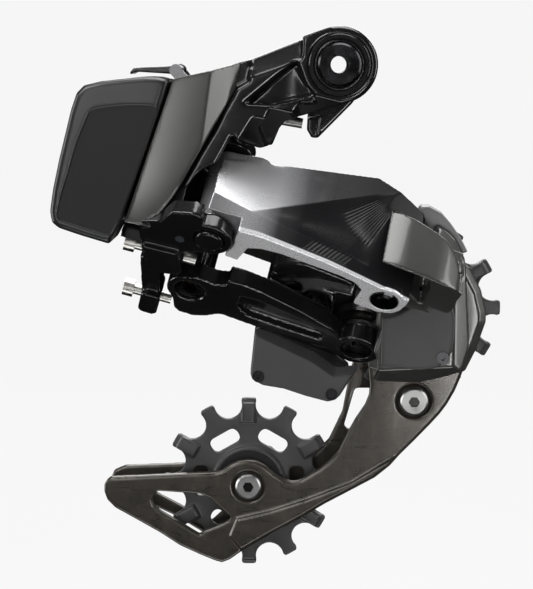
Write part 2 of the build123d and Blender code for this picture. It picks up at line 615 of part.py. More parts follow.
# motor housing carried by the inner link: a domed pod above it and a box below it
POD = [(13.4, 30.0), (14.6, 26.4), (16.4, 24.2), (18.8, 22.9), (21.2, 22.2), (24.2, 21.8), (36.2, 26.6), (38.2, 28.0), (39.0, 31.0),
       (37.6, 36.0), (33.5, 46.0), (12.0, 38.2), (12.4, 34.6)]
with BuildPart() as motor_housing:
    with BuildSketch(PF.offset(12.4)):
        Polygon(*POD, align=None)
    extrude(amount=10.4)
    # neck between the lower plate of the link and the pod
    with BuildSketch(PF.offset(5.7)):
        Polygon((12.6, 33.0), (14.2, 27.2), (33.0, 33.6), (31.6, 45.0), (28.0, 54.0), (12.0, 47.6), align=None)
    extrude(amount=11.0)
    # box below the link
    with BuildSketch(lat(14.0)):
        Polygon((-23.6, -75.2), (-25.0, -88.6), (-24.4, -90.3), (-21.4, -92.0), (-15.3, -93.0), (-9.0, -95.1), (-2.5, -96.8),
                (-0.4, -96.2), (0.8, -94.9), (3.2, -90.6), (3.8, -87.0), (-1.0, -83.0), (-6.0, -76.0), (-14.0, -70.0), align=None)
    extrude(amount=9.2)
    with BuildSketch(PF.offset(5.6)):
        Polygon((-40, -40), (80, -40), (80, 44.0), (36.0, 47.6), (29.0, 44.4), (12.0, 39.2), (7.3, 37.4), (-40, 37), align=None)
    extrude(amount=-40, mode=Mode.SUBTRACT)
    # clear of the pins' barrels and of the sector gear
    with BuildSketch(PF.offset(0)):
        with Locations(BI2, PI2):
            Circle(6.2)
    extrude(amount=30, mode=Mode.SUBTRACT)
    with BuildSketch(PF.offset(7.4)):
        with Locations(PI2):
            Circle(9.6)
    extrude(amount=4.2, mode=Mode.SUBTRACT)
    # motor and gear cavities
    with BuildSketch(LI.offset(7.6)):
        with Locations((36.5, 0)):
            Circle(5.6)
        with Locations((28.9, 0)):
            Circle(3.0)
    extrude(amount=3.8, mode=Mode.SUBTRACT)
    with BuildSketch(LI.offset(11.0)):
        with Locations((28.9, 0)):
            Circle(4.5)
    extrude(amount=10.4, mode=Mode.SUBTRACT)
    # post of the idler gear
    with BuildSketch(LI.offset(7.2)):
        with Locations((36.5, 0)):
            Circle(1.0)
    extrude(amount=4.6)
    add(inner_link.part, mode=Mode.SUBTRACT)
    # seat of the rating cover
    with BuildSketch(lat(6.2)):
        Polygon((-30, -60), (12, -60), (12, -100), (-30, -100), align=None)
    extrude(amount=3.0, mode=Mode.SUBTRACT)
save("motor_housing", motor_housing.part.solids().sort_by(SortBy.VOLUME)[-1])

with BuildPart() as motor_cover:
    with BuildSketch(lat(6.1)):
        Polygon((-23.4, -75.2), (-24.9, -88.6), (-24.4, -90.3), (-21.4, -92.0), (-15.3, -93.0), (-9.0, -95.1), (-2.5, -96.8),
                (-0.2, -96.2), (1.1, -94.9), (4.0, -90.2), (6.6, -86.4), (4.0, -83.6), (-6.0, -79.6), (-14.0, -77.2), align=None)
    extrude(amount=2.6)
    chamfer(motor_cover.faces().sort_by(Axis.Y)[0].edges(), 0.5)
    with BuildSketch(PF.offset(5.6)):
        Polygon((-40, -40), (80, -40), (80, 44.0), (36.0, 47.6), (29.0, 44.4), (12.0, 39.2), (7.3, 37.4), (-40, 37), align=None)
    extrude(amount=-40, mode=Mode.SUBTRACT)
    with BuildSketch(lat(7)):
        with Locations((-22.6, -89.4), (-1.4, -94.6)):
            Circle(0.9)
    extrude(amount=7, mode=Mode.SUBTRACT)
    with BuildSketch(lat(4.1)):
        with Locations((-22.6, -89.4), (-1.4, -94.6)):
            Circle(1.6)
    extrude(amount=3, mode=Mode.SUBTRACT)
save("motor_cover", motor_cover.part.solids().sort_by(SortBy.VOLUME)[-1])

with BuildPart() as motor_cover_screws:
    with BuildSketch(lat(6.0)):
        with Locations((-22.6, -89.4), (-1.4, -94.6)):
            Circle(0.9)
    extrude(amount=2.0)
    with BuildSketch(lat(4.1)):
        with Locations((-22.6, -89.4), (-1.4, -94.6)):
            Circle(1.6)
    extrude(amount=0.9)
    with BuildSketch(lat(3.8)):
        with Locations((-22.6, -89.4), (-1.4, -94.6)):
            RegularPolygon(0.8, 6)
    extrude(amount=1.0, mode=Mode.SUBTRACT)
save("motor_cover_screws", motor_cover_screws.part)

with BuildPart() as motor:
    with BuildSketch(LI.offset(11.2)):
        with Locations((28.9, 0)):
            Circle(4.4)
    extrude(amount=10.0)
    with BuildSketch(LI.offset(10.6)):
        with Locations((28.9, 0)):
            Circle(1.6)
            Circle(0.5, mode=Mode.SUBTRACT)
    extrude(amount=0.6)
    with BuildSketch(LI.offset(11.2)):
        with Locations((28.9, 0)):
            Circle(0.5)
    extrude(amount=3.0, mode=Mode.SUBTRACT)
save("motor", motor.part)

with BuildPart() as motor_pinion:
    with BuildSketch(LI.offset(7.8)):
        with Locations((28.9, 0)):
            Circle(2.2)
    extrude(amount=2.4)
    with BuildSketch(LI.offset(7.8)):
        with Locations((28.9, 0)):
            Circle(0.46)
    extrude(amount=6.0)
save("motor_pinion", motor_pinion.part)

with BuildPart() as idler_gear:
    with BuildSketch(LI.offset(7.8)):
        with Locations((36.5, 0)):
            Circle(5.1)
            Circle(1.0 + FIT, mode=Mode.SUBTRACT)
    extrude(amount=3.2)
save("idler_gear", idler_gear.part)

# ================================================================= P-knuckle
PK = [(13.2, -41.2), (15.2, -39.8), (22.9, -42.9), (28.5, -45.7), (31.9, -47.9), (34.1, -50.2), (36.5, -54.9), (37.0, -65.2),
      (38.0, -79.7), (35.8, -86.4), (32.5, -88.4), (29.1, -89.4), (23.5, -91.0), (12.2, -90.4), (9.6, -89.6), (10.6, -78.0),
      (11.5, -66.0), (12.7, -54.8)]
with BuildPart() as p_knuckle:
    with BuildSketch(lat(26.0)):
        Polygon(*PK, align=None)
    extrude(amount=29.6)
    fillet(p_knuckle.edges().filter_by(Axis.Y).filter_by(lambda e: e.center().X > 30), 2.0)
    # upper flap leans inboard, lower front faces outboard
    split(bisect_by=face_plane(Vector(14, -3.6, -56), Vector(36, -1.6, -62.5), Vector(22, 8.0, -43), Vector(0, -1, 1)), keep=Keep.BOTTOM)
    split(bisect_by=face_plane(Vector(31.5, -3.6, -60), Vector(31.5, -3.6, -85), Vector(37.6, 2.0, -72), Vector(1, -1, 0)), keep=Keep.BOTTOM)
    split(bisect_by=face_plane(Vector(12, -3.6, -85), Vector(32, -3.6, -84), Vector(20, 3.0, -90.6), Vector(0, -1, -1)), keep=Keep.BOTTOM)
    # room for the outer link's nose and the inner link's eye
    with BuildSketch(PF.offset(-6)):
        with Locations(PO2):
            Circle(11.9)
    extrude(amount=42, mode=Mode.SUBTRACT)
    with BuildSketch(PF.offset(-16)):
        with Locations(PI2):
            Circle(7.3)
        Polygon((10, 10), (48.0, 34), (42, 50), (10, 60), align=None)
    extrude(amount=45, mode=Mode.SUBTRACT)
    # the motor box swings under the knuckle's lower corner
    with BuildSketch(PF.offset(-20)):
        with Locations(PI2):
            Circle(20.5)
    extrude(amount=12.5, mode=Mode.SUBTRACT)
    with BuildSketch(lat(19.0)):
        Polygon((6, -96), (15.4, -96), (15.4, -84.0), (6, -84.0), align=None)
    extrude(amount=15.6, mode=Mode.SUBTRACT)
    # barrel of the outer pin and its web
    with BuildSketch(PF.offset(5.4)):
        with Locations(PO2):
            Circle(4.4)
        Polygon((46.6, 21.6), (50.8, 14.2), (56.0, 20.4), (63.5, 29.0), (63.5, 33.0), (52.0, 33.0), align=None)
    extrude(amount=22.4)
    # hood outboard of the outer link's nose, closed towards the front
    with BuildSketch(LO.offset(5.6)):
        Polygon((45.8, -9.9), (45.8, -11.2), (68.6, -10.6), (71.6, -8.0), (71.0, 2.0), (62.4, 2.0), (62.0, -6.5), (60.0, -9.9), align=None)
    extrude(amount=18.8)
    # the hood's upper edge falls in a curve towards the front
    with BuildSketch(SIDE.offset(3.0)):
        Polygon((45.0, 24.2), (54.1, 23.3), (59.5, 21.9), (62.6, 20.8), (64.8, 19.2), (66.6, 17.2), (68.0, 14.8), (69.4, 11.0), (70.8, 5.0),
                (80, 5.0), (80, 40), (45.0, 40), align=None)
    extrude(amount=16, mode=Mode.SUBTRACT)
    # barrel of the inner pin and its web
    with BuildSketch(PF.offset(6.0)):
        with Locations(PI2):
            Circle(EYE_R)
        Polygon((44.2, 38.8), (50.0, 30.0), (60.0, 30.0), (60.0, 50.0), (44.0, 47.4), align=None)
    extrude(amount=16.4)
    with BuildSketch(PF.offset(0)):
        with Locations(PO2):
            Circle(3.0)
        with Locations(PI2):
            Circle(PIN_R)
    extrude(amount=40, mode=Mode.SUBTRACT)
    with BuildSketch(PF.offset(8.0)):
        with Locations(PI2):
            Circle(9.3)
            Circle(4.2, mode=Mode.SUBTRACT)
            Polygon((0, 0), (30, -18), (30, 24), align=None, mode=Mode.SUBTRACT)
    extrude(amount=3.0, mode=Mode.SUBTRACT)
    # spring chamber and shaft bore of the cage pivot
    with BuildSketch(lat(27.0)):
        with Locations((UX, UZ)):
            Circle(10.6)
    extrude(amount=13.0, mode=Mode.SUBTRACT)
    with BuildSketch(lat(15.0)):
        with Locations((UX, UZ)):
            Circle(5.6)
    extrude(amount=9.0, mode=Mode.SUBTRACT)
    # seat of the gear cover
    with BuildSketch(lat(-2.0)):
        Polygon((0, -100), (33.4, -100), (33.4, -68), (29.0, -63.2), (0, -56.2), align=None)
    extrude(amount=4.0, mode=Mode.SUBTRACT)
    with BuildSketch(lat(0)):
        with Locations((23.4, -66.6), (29.8, -82.2)):
            Circle(1.0)
    extrude(amount=4, mode=Mode.SUBTRACT)
pk = p_knuckle.part.solids().sort_by(SortBy.VOLUME)[-1]
save("p_knuckle", pk)

with BuildPart() as gear_cover:
    with BuildSketch(lat(-2.05)):
        Polygon((13.2, -58.8), (27.0, -62.6), (30.4, -64.8), (32.6, -67.6), (33.3, -71.0), (33.2, -77.0), (32.6, -80.5), (31.2, -83.2),
                (28.6, -85.2), (24.0, -86.0), (12.4, -84.8), (12.6, -70.0), align=None)
    extrude(amount=1.7)
    chamfer(gear_cover.faces().sort_by(Axis.Y)[0].edges(), 0.4)
    with BuildSketch(PF.offset(-6)):
        with Locations(PO2):
            Circle(12.1)
        with Locations(PI2):
            Circle(7.5)
    extrude(amount=42, mode=Mode.SUBTRACT)
    with BuildSketch(lat(0)):
        with Locations((23.4, -66.6), (29.8, -82.2)):
            Circle(1.0)
    extrude(amount=8, mode=Mode.SUBTRACT)
    add(pk, mode=Mode.SUBTRACT)
save("gear_cover", gear_cover.part.solids().sort_by(SortBy.VOLUME)[-1])

with BuildPart() as gear_cover_screws:
    with BuildSketch(lat(-1.9)):
        with Locations((23.4, -66.6), (29.8, -82.2)):
            Circle(1.0)
    extrude(amount=1.9)
    with BuildSketch(lat(-3.75)):
        with Locations((23.4, -66.6), (29.8, -82.2)):
            Circle(1.7)
            RegularPolygon(0.8, 6, mode=Mode.SUBTRACT)
    extrude(amount=0.7)
save("gear_cover_screws", gear_cover_screws.part)

with BuildPart() as knuckle_cap:
    # cap over the top of the P-knuckle
    with BuildSketch(lat(20.5)):
        Polygon((23.4, -42.6), (24.6, -40.6), (26.6, -40.6), (30.4, -42.6), (33.0, -45.6), (35.8, -49.6), (38.0, -53.8), (36.0, -54.4),
                (30.0, -52.0), align=None)
    extrude(amount=9.5)
    add(pk, mode=Mode.SUBTRACT)
save("knuckle_cap", knuckle_cap.part.solids().sort_by(SortBy.VOLUME)[-1])

with BuildPart() as damper_cover:
    with BuildSketch(lat(25.8)):
        Polygon((36.2, -57.4), (39.5, -59.6), (42.9, -66.1), (44.5, -72.7), (44.5, -75.7), (41.7, -84.2), (38.6, -90.6), (33.0, -91.4),
                (34.6, -88.0), (36.2, -86.4), (38.2, -79.7), (37.2, -65.2), align=None)
    extrude(amount=8.0)
    chamfer(damper_cover.faces().sort_by(Axis.Y)[0].edges().filter_by(lambda e: e.center().X > 38.4), 2.2)
    add(pk, mode=Mode.SUBTRACT)
save("damper_cover", damper_cover.part.solids().sort_by(SortBy.VOLUME)[-1])

with BuildPart() as p_knuckle_bushes:
    for z0 in (5.5, 24.7):
        with BuildSketch(PF.offset(z0)):
            with Locations(PO2):
                Circle(3.0)
                Circle(PIN_R + FIT, mode=Mode.SUBTRACT)
        extrude(amount=3.0)
save("p_knuckle_bushes", p_knuckle_bushes.part)

with BuildPart() as inner_pin:
    # pin of the open pivot, tight in the P-knuckle, clear of the inner link
    with BuildSketch(PF.offset(0.7)):
        with Locations(PI2):
            Circle(PIN_R)
    extrude(amount=26.4)
save("inner_pin", inner_pin.part)

with BuildPart() as inner_clip:
    with BuildSketch(PF.offset(0.8)):
        with Locations(PI2):
            Circle(4.0)
            Circle(PIN_R, mode=Mode.SUBTRACT)
            Rectangle(2.6, 9, align=(Align.CENTER, Align.MAX), mode=Mode.SUBTRACT)
    extrude(amount=0.6)
save("inner_clip", inner_clip.part)

with BuildPart() as sector_gear:
    with BuildSketch(PF.offset(8.2)):
        with Locations(PI2):
            Circle(9.0)
            Circle(4.2, mode=Mode.SUBTRACT)
            Polygon((2.0, 0), (30, -30), (30, 30), align=None, mode=Mode.SUBTRACT)
    extrude(amount=2.6)
    add(pk, mode=Mode.SUBTRACT)
save("sector_gear", sector_gear.part.solids().sort_by(SortBy.VOLUME)[-1])

with BuildPart() as shaft_bush:
    with BuildSketch(lat(15.0)):
        with Locations((UX, UZ)):
            Circle(5.6)
            Circle(4.5 + FIT, mode=Mode.SUBTRACT)
    extrude(amount=9.0)
save("shaft_bush", shaft_bush.part)

with BuildPart() as cage_spring:
    # torsion spring in the chamber round the cage shaft
    with BuildLine():
        coil = Helix(pitch=1.9, height=8.2, radius=8.7, center=(UX, 16.0, UZ), direction=(0, 1, 0))
    with BuildSketch(Plane(origin=coil @ 0, z_dir=coil % 0)):
        Circle(0.75)
    sweep(path=coil)
save("cage_spring", cage_spring.part)

# ================================================================= cage
OUTER = [(-71.3, -131.3), (-71.3, -129.1), (-70.3, -127.5), (-69.1, -126.6), (-60.1, -126.2), (-47.7, -125.5), (-36.8, -124.9),
         (-34.7, -124.3), (-32.2, -122.5), (-29.7, -121.4), (-26.9, -120.9), (-24.2, -121.2), (-21.4, -122.7), (-18.3, -125.3),
         (-15.5, -127.1), (-13.1, -127.8), (-10.6, -127.4), (-7.5, -125.5), (-4.4, -123.6), (-1.4, -121.0), (1.1, -118.2),
         (3.2, -113.8), (6.2, -108.1), (9.3, -103.4), (10.5, -100.3), (10.7, -97.4), (9.6, -86.0), (10.8, -74.0), (15.0, -65.0),
         (21.0, -61.0), (28.5, -61.4), (35.0, -66.6), (38.0, -75.0), (39.2, -84.0), (39.0, -92.9), (38.1, -95.4), (36.7, -98.9),
         (34.3, -103.2), (32.2, -106.1), (29.2, -109.5), (24.7, -114.3), (20.1, -119.0), (17.1, -122.5), (12.5, -126.3),
         (4.9, -130.5), (-2.8, -134.7), (-10.5, -139.5), (-19.8, -144.7), (-29.2, -150.5), (-32.3, -152.8), (-34.8, -153.8),
         (-37.0, -153.2), (-41.6, -151.3), (-47.9, -148.4), (-54.1, -144.3), (-60.2, -140.8), (-68.0, -136.4), (-70.4, -133.9)]
CUT = [(-54.9, -130.9), (-41.5, -131.8), (-38.4, -133.0), (-31.6, -139.4), (-34.7, -141.3), (-40.4, -143.6), (-41.6, -144.9),
       (-47.8, -141.1), (-54.0, -137.3), (-56.1, -135.4), (-56.4, -133.8)]
with BuildPart() as cage_outer_plate:
    with BuildSketch(lat(CAGE_FRONT + CAGE_T)):
        Polygon(*OUTER, align=None)
    extrude(amount=CAGE_T)
    with BuildSketch(lat(CAGE_FRONT + CAGE_T + 1)) as cut_sk:
        Polygon(*CUT, align=None)
        fillet(cut_sk.vertices(), 0.8)
    extrude(amount=6, mode=Mode.SUBTRACT)
    chamfer(cage_outer_plate.faces().sort_by(Axis.Y)[0].outer_wire().edges(), 0.5)
    # thicker rib along the lower front half, with a crease along its top
    with BuildSketch(lat(CAGE_FRONT + 0.6)):
        Polygon((-30.6, -139.0), (-20.0, -136.4), (-8.6, -132.6), (5.0, -127.2), (19.2, -118.4), (17.1, -122.5), (12.5, -126.0),
                (4.9, -130.2), (-2.8, -134.4), (-10.5, -139.2), (-19.8, -144.4), (-29.0, -150.0), (-33.0, -145.0), align=None)
    extrude(amount=1.6, taper=30)
    # hub towards the P-knuckle
    with BuildSketch(lat(CAGE_FRONT + 0.2)):
        with Locations((UX, UZ)):
            Circle(12.0)
    extrude(amount=CAGE_FRONT + 0.2 - 27.6)
    # holes: shaft, lower pulley bolt, third bolt
    with BuildSketch(lat(40)):
        with Locations((UX, UZ)):
            Circle(4.5)
        with Locations((LX, LZ)):
            Circle(2.5)
        with Locations((CX, CZ)):
            Circle(2.5)
    extrude(amount=14, mode=Mode.SUBTRACT)
    with BuildSketch(lat(CAGE_FRONT + 1.2)):
        with Locations((LX, LZ)):
            Circle(4.9)
        with Locations((CX, CZ)):
            Circle(5.3)
    extrude(amount=3, mode=Mode.SUBTRACT)
save("cage_outer_plate", cage_outer_plate.part)

with BuildPart() as cage_inner_plate:
    with BuildSketch(lat(INNER_Y)) as ip:
        Polygon((-71.0, -131.0), (-69.6, -127.6), (-66.0, -126.0), (-48.0, -125.2), (-35.0, -123.0), (-28.0, -119.4), (-20.0, -119.6),
                (-14.0, -124.8), (-7.0, -122.6), (-1.6, -117.0), (2.6, -108.0), (4.8, -96.0), (8.0, -84.0), (12.0, -70.0), (17.0, -64.0),
                (25.0, -62.0), (33.0, -66.0), (37.0, -76.0), (37.5, -92.0), (33.0, -103.0), (27.0, -110.0), (16.0, -119.0),
                (4.0, -126.5), (-12.0, -135.6), (-24.0, -138.4), (-33.0, -146.8), (-37.5, -150.2), (-50.0, -142.4), (-66.0, -135.0),
                align=None)
        fillet(ip.vertices(), 1.0)
    extrude(amount=2.2)
    with BuildSketch(lat(INNER_Y + 1)) as ic:
        Polygon((-56.0, -130.6), (-42.0, -130.4), (-36.4, -134.0), (-33.6, -139.0), (-39.0, -144.0), (-49.0, -138.6), (-56.6, -134.6),
                align=None)
        Polygon((6.5, -100.5), (17.0, -100.5), (20.5, -108.0), (13.0, -117.4), (3.0, -113.0), align=None)
        fillet(ic.vertices(), 1.2)
    extrude(amount=5, mode=Mode.SUBTRACT)
    chamfer(cage_inner_plate.faces().sort_by(Axis.Y)[0].outer_wire().edges(), 0.5)
    with BuildSketch(lat(50)):
        with Locations((UX, UZ), (LX, LZ)):
            Circle(2.5)
    extrude(amount=14, mode=Mode.SUBTRACT)
save("cage_inner_plate", cage_inner_plate.part)

with BuildPart() as cage_shaft:
    with BuildSketch(lat(CAGE_FRONT + CAGE_T)):
        with Locations((UX, UZ)):
            Circle(4.5)
    extrude(amount=CAGE_FRONT + CAGE_T - 6.3)
    with BuildSketch(lat(CAGE_FRONT + CAGE_T + 1)):
        with Locations((UX, UZ)):
            Circle(2.5)
    extrude(amount=16.0, mode=Mode.SUBTRACT)
save("cage_shaft", cage_shaft.part)


def pulley(x, z, wide_first):
    """Narrow-wide jockey wheel with 12 teeth and spoke windows, on its lateral axis."""
    with BuildPart() as p:
        with BuildSketch(lat(PULLEY_Y + 0.95)) as sk:
            with Locations((x, z)):
                Circle(PULLEY_TIP_R)
                with PolarLocations(PULLEY_PITCH_R + 0.5, 12, start_angle=15):
                    Circle(4.35, mode=Mode.SUBTRACT)
                with PolarLocations(PULLEY_PITCH_R + 3.9, 12, start_angle=15):
                    Circle(5.35, mode=Mode.SUBTRACT)
                Circle(8.0, mode=Mode.SUBTRACT)
        extrude(amount=1.9)
        # wide pads on every other tooth
        with BuildSketch(lat(PULLEY_Y + 1.9)):
            with Locations((x, z)):
                with PolarLocations(22.0, 6, start_angle=wide_first):
                    Rectangle(6.2, 4.2)
        extrude(amount=3.8)
        # rim and hub are thicker than the teeth
        with BuildSketch(lat(PULLEY_Y + 2.1)):
            with Locations((x, z)):
                Circle(11.2)
                Circle(8.0, mode=Mode.SUBTRACT)
        extrude(amount=4.2)
        with BuildSketch(lat(PULLEY_Y + 3)):
            with Locations((x, z)):
                with PolarLocations(14.9, 6, start_angle=wide_first + 30):
                    RectangleRounded(4.6, 9.6, 1.9)
        extrude(amount=6, mode=Mode.SUBTRACT)
    return p.part


save("upper_pulley", pulley(UX, UZ, 30))
save("lower_pulley", pulley(LX, LZ, 30))


def ring(x, z, y0, y1, ro, ri):
    with BuildPart() as p:
        with BuildSketch(lat(y1)):
            with Locations((x, z)):
                Circle(ro)
                Circle(ri, mode=Mode.SUBTRACT)
        extrude(amount=y1 - y0)
    return p.part


def balls(x, z):
    with BuildPart() as p:
        with Locations(*[(x + 5.85 * cos(a * pi / 4), PULLEY_Y, z + 5.85 * sin(a * pi / 4)) for a in range(8)]):
            Sphere(1.0)
    return p.part


for tag, x, z in (("upper", UX, UZ), ("lower", LX, LZ)):
    save(tag + "_outer_race", ring(x, z, PULLEY_Y - 2.0, PULLEY_Y + 2.0, 8.0, 6.87))
    save(tag + "_balls", balls(x, z))

# inner races and dust shields stay still between the cage plates
with BuildPart() as inner_races:
    with BuildSketch(lat(INNER_Y - 2.2)):
        with Locations((UX, UZ), (LX, LZ)):
            Circle(4.8)
            Circle(2.5, mode=Mode.SUBTRACT)
    extrude(amount=INNER_Y - 2.2 - CAGE_FRONT - CAGE_T)
save("inner_races", inner_races.part)

with BuildPart() as pulley_shields:
    for y0 in (PULLEY_Y - 3.0, PULLEY_Y + 2.4):
        with BuildSketch(lat(y0 + 0.6)):
            with Locations((UX, UZ), (LX, LZ)):
                Circle(10.2)
                Circle(4.8, mode=Mode.SUBTRACT)
        extrude(amount=0.6)
save("pulley_shields", pulley_shields.part)


def cage_bolt(x, z, y_head, head_r, y_end):
    """Button-headed bolt from the outboard side with a 3 mm hex."""
    with BuildPart() as p:
        with BuildSketch(lat(y_end)):
            with Locations((x, z)):
                Circle(2.5)
        extrude(amount=y_end - y_head)
        with BuildSketch(lat(CAGE_FRONT + 1.2)):
            with Locations((x, z)):
                Circle(head_r)
        extrude(amount=CAGE_FRONT + 1.2 - y_head)
        chamfer(p.faces().sort_by(Axis.Y)[0].edges(), 0.5)
        with BuildSketch(lat(y_head + 1.6)):
            with Locations((x, z)):
                RegularPolygon(1.5, 6, major_radius=False)
        extrude(amount=3, mode=Mode.SUBTRACT)
    return p.part


save("lower_pulley_bolt", cage_bolt(LX, LZ, CAGE_FRONT - 1.2, 3.9, INNER_Y + 0.2))
save("cage_stop_screw", cage_bolt(CX, CZ, CAGE_FRONT - 1.4, 4.2, CAGE_FRONT + CAGE_T + 0.6))

with BuildPart() as upper_pulley_bolt:
    # from the inboard side into the end of the cage shaft
    with BuildSketch(lat(INNER_Y + 1.6)):
        with Locations((UX, UZ)):
            Circle(4.0)
    extrude(amount=1.6)
    with BuildSketch(lat(INNER_Y)):
        with Locations((UX, UZ)):
            Circle(2.5)
    extrude(amount=INNER_Y - 20.5)
    with BuildSketch(lat(INNER_Y + 2)):
        with Locations((UX, UZ)):
            RegularPolygon(1.5, 6, major_radius=False)
    extrude(amount=2.0, mode=Mode.SUBTRACT)
save("upper_pulley_bolt", upper_pulley_bolt.part)
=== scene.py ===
# Rear derailleur looks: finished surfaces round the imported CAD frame. Metres, row frame.
import bpy, bmesh, json, math
import numpy as np
from mathutils import Vector, Matrix

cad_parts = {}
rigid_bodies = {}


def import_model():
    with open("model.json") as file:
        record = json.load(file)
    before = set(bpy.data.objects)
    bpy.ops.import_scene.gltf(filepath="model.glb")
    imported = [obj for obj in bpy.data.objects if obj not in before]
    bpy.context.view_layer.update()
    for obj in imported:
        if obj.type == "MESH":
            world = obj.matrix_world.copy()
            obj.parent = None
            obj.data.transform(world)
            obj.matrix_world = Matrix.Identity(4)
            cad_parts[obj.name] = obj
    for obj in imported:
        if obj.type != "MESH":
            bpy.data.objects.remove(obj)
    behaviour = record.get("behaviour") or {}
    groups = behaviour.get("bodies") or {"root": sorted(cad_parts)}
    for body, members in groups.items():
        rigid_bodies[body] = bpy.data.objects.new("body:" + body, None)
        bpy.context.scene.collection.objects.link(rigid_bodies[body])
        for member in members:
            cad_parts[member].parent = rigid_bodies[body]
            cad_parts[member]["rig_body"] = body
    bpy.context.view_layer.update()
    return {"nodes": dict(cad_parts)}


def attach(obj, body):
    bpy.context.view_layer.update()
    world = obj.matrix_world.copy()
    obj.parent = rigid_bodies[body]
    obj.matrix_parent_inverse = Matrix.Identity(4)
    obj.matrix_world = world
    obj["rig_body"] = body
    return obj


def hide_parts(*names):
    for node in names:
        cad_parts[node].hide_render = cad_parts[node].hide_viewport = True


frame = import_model()
NODES = frame["nodes"]
BODY = {n: o["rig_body"] for n, o in NODES.items()}
scene = bpy.context.scene
MM = 0.001

# ------------------------------------------------------------------ camera
CAM = Vector((-7.98, -462.2, 1.25)) * MM
PSI, PITCH = math.radians(1.504), math.radians(8.137)
right = Vector((math.cos(PSI), math.sin(PSI), 0))
ahead = Vector((-math.sin(PSI) * math.cos(PITCH), math.cos(PSI) * math.cos(PITCH), -math.sin(PITCH)))
upward = right.cross(ahead)
cd = bpy.data.cameras.new("camera")
cam = bpy.data.objects.new("camera", cd)
scene.collection.objects.link(cam)
cd.sensor_width = 36.0
cd.lens = 36.0 * 1640.0 / 589.0
cd.clip_start, cd.clip_end = 0.05, 50
cam.matrix_world = Matrix((
    (right.x, upward.x, -ahead.x, CAM.x),
    (right.y, upward.y, -ahead.y, CAM.y),
    (right.z, upward.z, -ahead.z, CAM.z),
    (0, 0, 0, 1)))
scene.camera = cam

# linkage frame: along the links, outboard across them, along the pins (millimetres)
UPV = np.array((0.1752, 0.6759, 0.7159))
PX = np.array((0.98453, -0.12027, -0.12739))
PX = PX - UPV * (PX @ UPV); PX /= np.linalg.norm(PX)
PY = np.cross(UPV, PX)
BO = np.array((-35.08, -22.0, -47.03))
c20, s20 = math.cos(math.atan2(17.63, 48.29)), math.sin(math.atan2(17.63, 48.29))
LX = PX * c20 + PY * s20
LY = -PX * s20 + PY * c20          # inboard across the link


def link_uoz(co):
    """(along the outer link, outboard of it, along its pins) of points in millimetres."""
    d = co - BO
    return d @ LX, -(d @ LY), d @ UPV


# ------------------------------------------------------------------ materials
def nodes_of(name):
    m = bpy.data.materials.new(name)
    m.use_nodes = True
    nt = m.node_tree
    b = next(n for n in nt.nodes if n.type == "BSDF_PRINCIPLED")
    return m, nt, b


def add(nt, kind, **props):
    n = nt.nodes.new(kind)
    for k, v in props.items():
        setattr(n, k, v)
    return n


def noise(nt, vec, scale, detail=4.0, rough=0.55, distortion=0.0):
    n = add(nt, "ShaderNodeTexNoise")
    n.inputs["Scale"].default_value = scale
    n.inputs["Detail"].default_value = detail
    n.inputs["Roughness"].default_value = rough
    n.inputs["Distortion"].default_value = distortion
    nt.links.new(vec, n.inputs["Vector"])
    return n.outputs["Fac"]


def ramp(nt, fac, stops):
    r = add(nt, "ShaderNodeValToRGB")
    e = r.color_ramp.elements
    while len(e) < len(stops):
        e.new(0.5)
    for el, (pos, col) in zip(e, stops):
        el.position = pos
        el.color = col if len(col) == 4 else (*col, 1)
    nt.links.new(fac, r.inputs["Fac"])
    return r.outputs["Color"]


def remap(nt, val, a, b, lo, hi):
    m = add(nt, "ShaderNodeMapRange")
    m.inputs["From Min"].default_value = a
    m.inputs["From Max"].default_value = b
    m.inputs["To Min"].default_value = lo
    m.inputs["To Max"].default_value = hi
    nt.links.new(val, m.inputs["Value"])
    return m.outputs["Result"]


def mixc(nt, fac, a, b, mode="MIX"):
    m = add(nt, "ShaderNodeMix", data_type="RGBA", blend_type=mode)
    ins = {s.name + s.type: s for s in m.inputs}
    fs = [s for s in m.inputs if s.name == "Factor" and s.type == "VALUE"][0]
    ca = [s for s in m.inputs if s.name == "A" and s.type == "RGBA"][0]
    cb = [s for s in m.inputs if s.name == "B" and s.type == "RGBA"][0]
    for s, v in ((fs, fac), (ca, a), (cb, b)):
        if hasattr(v, "links") or isinstance(v, bpy.types.NodeSocket):
            nt.links.new(v, s)
        elif s is fs:
            s.default_value = v
        else:
            s.default_value = v if len(v) == 4 else (*v, 1)
    return [o for o in m.outputs if o.type == "RGBA"][0]


def math_node(nt, op, a, b=None, c=None):
    m = add(nt, "ShaderNodeMath", operation=op)
    for s, v in zip(m.inputs, (a, b, c)):
        if v is None:
            continue
        if isinstance(v, bpy.types.NodeSocket):
            nt.links.new(v, s)
        else:
            s.default_value = v
    return m.outputs[0]


def mapped(nt, vec, scale=(1, 1, 1), rot=(0, 0, 0)):
    m = add(nt, "ShaderNodeMapping")
    m.inputs["Scale"].default_value = scale
    m.inputs["Rotation"].default_value = rot
    nt.links.new(vec, m.inputs["Vector"])
    return m.outputs["Vector"]


def bumped(nt, b, height, strength, distance, after=None):
    n = add(nt, "ShaderNodeBump")
    n.inputs["Strength"].default_value = strength
    n.inputs["Distance"].default_value = distance
    nt.links.new(height, n.inputs["Height"])
    if after is not None:
        nt.links.new(after, n.inputs["Normal"])
    nt.links.new(n.outputs["Normal"], b.inputs["Normal"])
    return n.outputs["Normal"]


